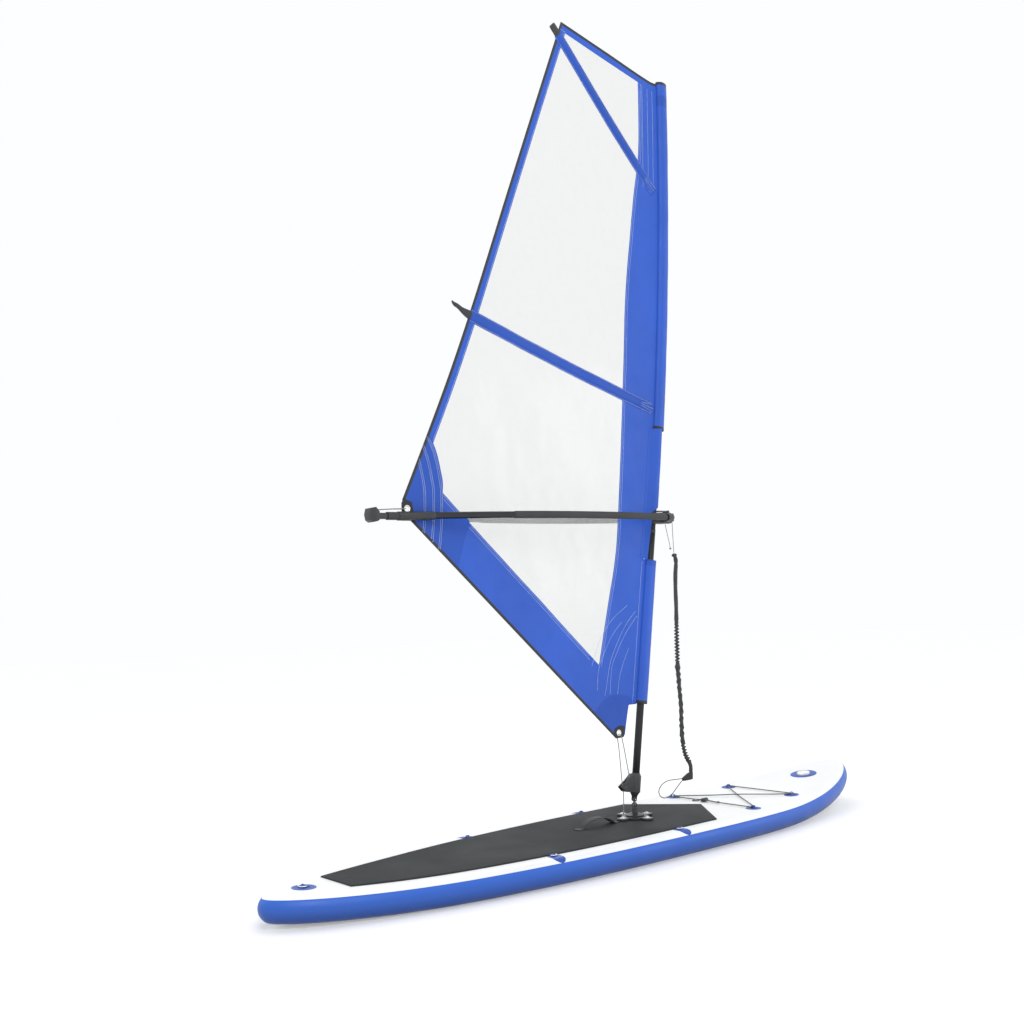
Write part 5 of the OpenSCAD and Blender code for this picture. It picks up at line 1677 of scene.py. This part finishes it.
# ---------------------------------------------------------------- hardware
HARDWARE = {  # width of the broken edge in metres, looks, body, name of the surface
    "boom_head": (0.0016, "black", "rig", "plastic_black"),
    "head_lever": (0.001, "grey", "head_lever", "plastic_grey"),
    "boom_yoke": (0.0015, "black", "rig", "plastic_black"),
    "boom_tail": (0.003, "black", "boom_tail", "plastic_black"),
    "mast_cap": (0.0012, "black", "rig", "plastic_black"),
    "base_plate": (0.0015, "black", "board", "plastic_black"),
    "base_screws": (0.0004, "steel", "board", "steel"),
    "swivel_hub": (0.0012, "black", "swivel", "plastic_black"),
    "joint_link": (0.0006, "grey", "link", "plastic_black"),
    "upper_yoke": (0.0012, "black", "rig", "plastic_black"),
    "extension_collar": (0.0018, "black", "rig", "plastic_black"),
    "downhaul_sheave": (0.0004, "grey", "sheave", "plastic_grey"),
    "cord_lock": (0.0015, "black", "board", "plastic_black"),
    "lock_button": (0.001, "black", "lock_button", "plastic_black"),
}


def simplify(bm):
    bmesh.ops.remove_doubles(bm, verts=bm.verts, dist=2e-6)
    bmesh.ops.dissolve_limit(bm, angle_limit=math.radians(1.0), verts=bm.verts, edges=bm.edges)
    for f in bm.faces:
        f.material_index = 0
        f.smooth = True


def bevelled(*names):
    """Each CAD node's own shape with its edges broken."""
    for node in names:
        width, mat, body, slot_name = HARDWARE[node]
        src = nodes[node]
        me = src.data.copy()
        me.transform(src.matrix_world)
        me.materials.clear()
        me.materials.append(M[mat])
        ob = edited(linked(node + "_finished", me), simplify)
        mod = ob.modifiers.new("edges", "BEVEL")
        mod.width = width
        mod.segments = 3
        mod.limit_method = "ANGLE"
        mod.angle_limit = math.radians(28)
        mod.harden_normals = False
        crease(bake(ob), 40)
        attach(ob, body)
        dress(ob, node)


ARM_BEND_R = 2450


def arm_path(x0, x1, side, step=12):
    """Points along the curved arm of the boom, in the row frame."""
    arc = [(x, 130 - ARM_BEND_R + math.sqrt(ARM_BEND_R ** 2 - (x + 545) ** 2))
           for x in steps(x0, x1, max(2, int(abs(x1 - x0) / step)))]
    return [B(x, side * y, 0) for x, y in arc]


def grip_r(s, a):
    """Radius of a foam grip: rounded ends and fine ribs along it."""
    end = min(1.0, s / 0.004, (0.913 - s) / 0.004) if 0 < s < 0.913 else 0.0
    return 0.0132 + 0.0014 * max(0.0, end) ** 0.5 + 0.00018 * math.sin(a * 18)


def build_boom():
    for side, name in ((1, "port"), (-1, "starboard")):
        ob = tube(f"boom_tube_{name}", arm_path(38, -1266, side), 0.013, M["alu"], "rig", 40)
        dress(ob, f"boom_arm_{name}")
        grip = tube(f"boom_grip_{name}", arm_path(10, -900, side, 6), grip_r, M["grip"], "rig", 72)
        dress(grip, "boom_grips")
    bevelled("boom_head", "head_lever", "boom_yoke", "boom_tail")


def mast_tube(name, z0, z1, n, radius, mat):
    return tube(name, [on_mast(z) @ Vector() for z in steps(z0, z1, n)], radius, M[mat], "rig", 64)


def build_mast():
    lower = mast_tube("mast_lower_tube", PIVOT_Z + 112 * math.cos(LEAN), STRAIGHT_Z, 6, 0.016, "mast")
    dress(lower, "mast_lower")
    upper = mast_tube("mast_upper_tube", STRAIGHT_Z, 3436, 90, 0.015, "mast")
    dress(upper, "mast_upper")
    bevelled("mast_cap")
    band = mast_tube("mast_joint_ring", STRAIGHT_Z - 14, STRAIGHT_Z + 1, 4, 0.0164, "black")
    dress(band, None)


def build_foot():
    bevelled("base_plate", "base_screws", "swivel_hub", "joint_link", "upper_yoke", "extension_collar",
             "downhaul_sheave")
    for n in ("base_stud", "link_pins"):
        paint(n, M["steel"])
    paint("extension_tube", M["alu"])
    paint("mast_ferrule", M["alu"])


def build_handle():
    """A webbing handle arched over the pad, with sewn ends."""
    hx, hz, bend, half = 1540, 105, 150, 95
    foot = [(-117, 0.4), (-108, 0.4), (-98, 1.2), (-86, 5.5)]
    drop = math.sqrt(bend ** 2 - half ** 2) - 0.4
    sweep = math.radians(33)
    arch = [(-bend * math.sin(a), bend * math.cos(a) - drop) for a in steps(sweep, -sweep, 18)]
    line = foot + arch + [(-x, z) for x, z in reversed(foot)]
    path = spline([P(hx + x, 0, hz + z) for x, z in line], 0.007)
    ob = strip("handle_webbing", path, upright(path), 0.019, 0.0026, M["webbing"])
    dress(ob, "carry_handle")
    w, d, r, quarter = 0.0105, 0.0185, 0.004, math.pi / 2
    corners = ((1, 1, 0), (-1, 1, quarter), (-1, -1, 2 * quarter), (1, -1, 3 * quarter))
    tab = [(sx * (w - r) + r * math.cos(a), sy * (d - r) + r * math.sin(a))
           for sx, sy, a0 in corners for a in steps(a0, a0 + quarter, 5)]
    for s in (-1, 1):
        m = Matrix.Translation(P(hx + s * 106, 0, hz + 0.2))
        ob = rounded_plate(f"handle_tab_{s + 1}", tab, m, 0.0029, M["webbing"])
        dress(ob, "carry_handle")


# profiles of the valve as (radius, height) in metres
VALVE_RIM_PROFILE = [
    (0.0185, 0.0008), (0.0185, 0.0044), (0.0192, 0.0050), (0.0305, 0.0050), (0.0317, 0.0046), (0.032, 0.0040),
    (0.032, 0.0008),
]
VALVE_CAP_PROFILE = [
    (0.0, 0.0), (0.0298, 0.0), (0.0307, 0.0006), (0.031, 0.0012), (0.0308, 0.0038), (0.0300, 0.0046),
    (0.0286, 0.005), (0.0225, 0.0048), (0.0212, 0.0032), (0.0200, 0.0028), (0.0112, 0.0028), (0.0100, 0.0034),
    (0.0092, 0.0060), (0.0084, 0.0068), (0.0070, 0.007), (0.0, 0.007),
]


def build_valve():
    lathe("valve_rim", VALVE_RIM_PROFILE, on_deck(VALVE_X, 0), M["white"], "board", 96, closed=True)
    paint("valve_body", M["white"])
    cap = on_deck(VALVE_X, 0, VALVE_RIM + 0.2)
    top = lathe("valve_cap_top", VALVE_CAP_PROFILE, cap, M["white"], "valve_cap", 96)
    dress(top, "valve_cap")
    # upright ribs of a diamond section round the cap's edge
    verts, faces = [], []
    mid = 0.0026
    up = (cap.to_3x3() @ Vector((0, 0, 1))).normalized()
    for k, (x, y) in enumerate(circle(0.0309, 36)):
        c = cap @ Vector((x, y, mid))
        out = (c - (cap @ Vector((0, 0, mid)))).normalized()
        side = up.cross(out)
        for u in (-1, 1):
            for v, w in ((-0.0009, 0.0), (0.0, 0.0006), (0.0009, 0.0), (0.0, -0.0006)):
                verts.append(c + up * (u * 0.0014) + side * v + out * w)
        faces += net(2, 4, start=8 * k) + [tuple(8 * k + i for i in f) for f in caps(2, 4)]
    rib = recalc(make("valve_cap_ribs", verts, faces, M["white"], "valve_cap", smooth=False))
    dress(rib, None)
    paint("valve_pin", M["white"])
    paint("valve_spring", M["steel"])


def build_lock():
    bevelled("cord_lock", "lock_button")
    paint("fin_box", M["white"])
    paint("stitch_threads", M["inner"])


# ---------------------------------------------------------------- studio
def area_light(name, at, target, size, power, colour=(1, 1, 1)):
    data = bpy.data.lights.new(name, "AREA")
    data.shape = "RECTANGLE"
    data.size, data.size_y = size
    data.energy = power
    data.color = colour
    ob = linked(name, data)
    ob.location = at
    ob.rotation_euler = (Vector(target) - Vector(at)).to_track_quat("-Z", "Y").to_euler()


def build_studio():
    scene = bpy.context.scene
    scene.view_settings.view_transform = "Standard"
    world = bpy.data.worlds.new("studio")
    scene.world = world
    world.use_nodes = True
    back = world.node_tree.nodes["Background"]
    back.inputs[0].default_value = (0.98, 0.99, 1.0, 1)
    back.inputs[1].default_value = 1.0
    area_light("key", (-3.2, -5.0, 5.2), (0, 0, 1.1), (3.2, 3.2), 120, (1, 0.985, 0.96))
    area_light("fill", (-5.6, 3.0, 3.2), (0, 0, 1.2), (3, 3), 20)
    area_light("rim", (3.8, 4.6, 4.4), (0, 0, 1.5), (2.4, 3.2), 45)
    area_light("nose", (4.6, -3.8, 2.2), (0.6, 0, 0.6), (2.2, 2.2), 30)
    n = Nodes("floor_paper")
    tint = n.mix(n.noise(0.8, 4), (0.86, 0.865, 0.87), (0.88, 0.885, 0.89))
    grain = n.bump(n.noise(220, 3), 0.08, 0.0003)
    mat = n.done(tint, 0.85, grain, Emission_Color=(1, 1, 1, 1), Emission_Strength=0.12)
    r = 30
    me = bpy.data.meshes.new("floor")
    me.from_pydata([(-r, -r, 0), (r, -r, 0), (r, r, 0), (-r, r, 0)], [], [(0, 1, 2, 3)])
    me.materials.append(mat)
    floor = linked("floor", me)
    floor.location.z = cad_box[0][2] - 0.001


build_bungee()
build_downhaul()
build_uphaul()
build_outhaul()
build_board()
build_pad()
build_patches()
build_rings()
build_handle()
build_valve()
build_lock()
build_sail()
build_bindings()
pocket_rows = []
for number, batten_line in enumerate(BATTENS):
    pocket_rows += build_pocket(number + 1, batten_line)
stitches("pocket_stitching", pocket_rows, "rig", 0.0055, 0.0006, zigzag=0.6, reach=0.5)
build_eyelets()
build_seams()
build_flap()
sleeve("sleeve_lower_cloth", "sleeve_lower", *SLEEVE_LOW, LOW_BANDS)
sleeve("sleeve_upper_cloth", "sleeve_upper", *SLEEVE_HIGH, HIGH_BANDS)
build_boom()
build_mast()
build_foot()
build_studio()
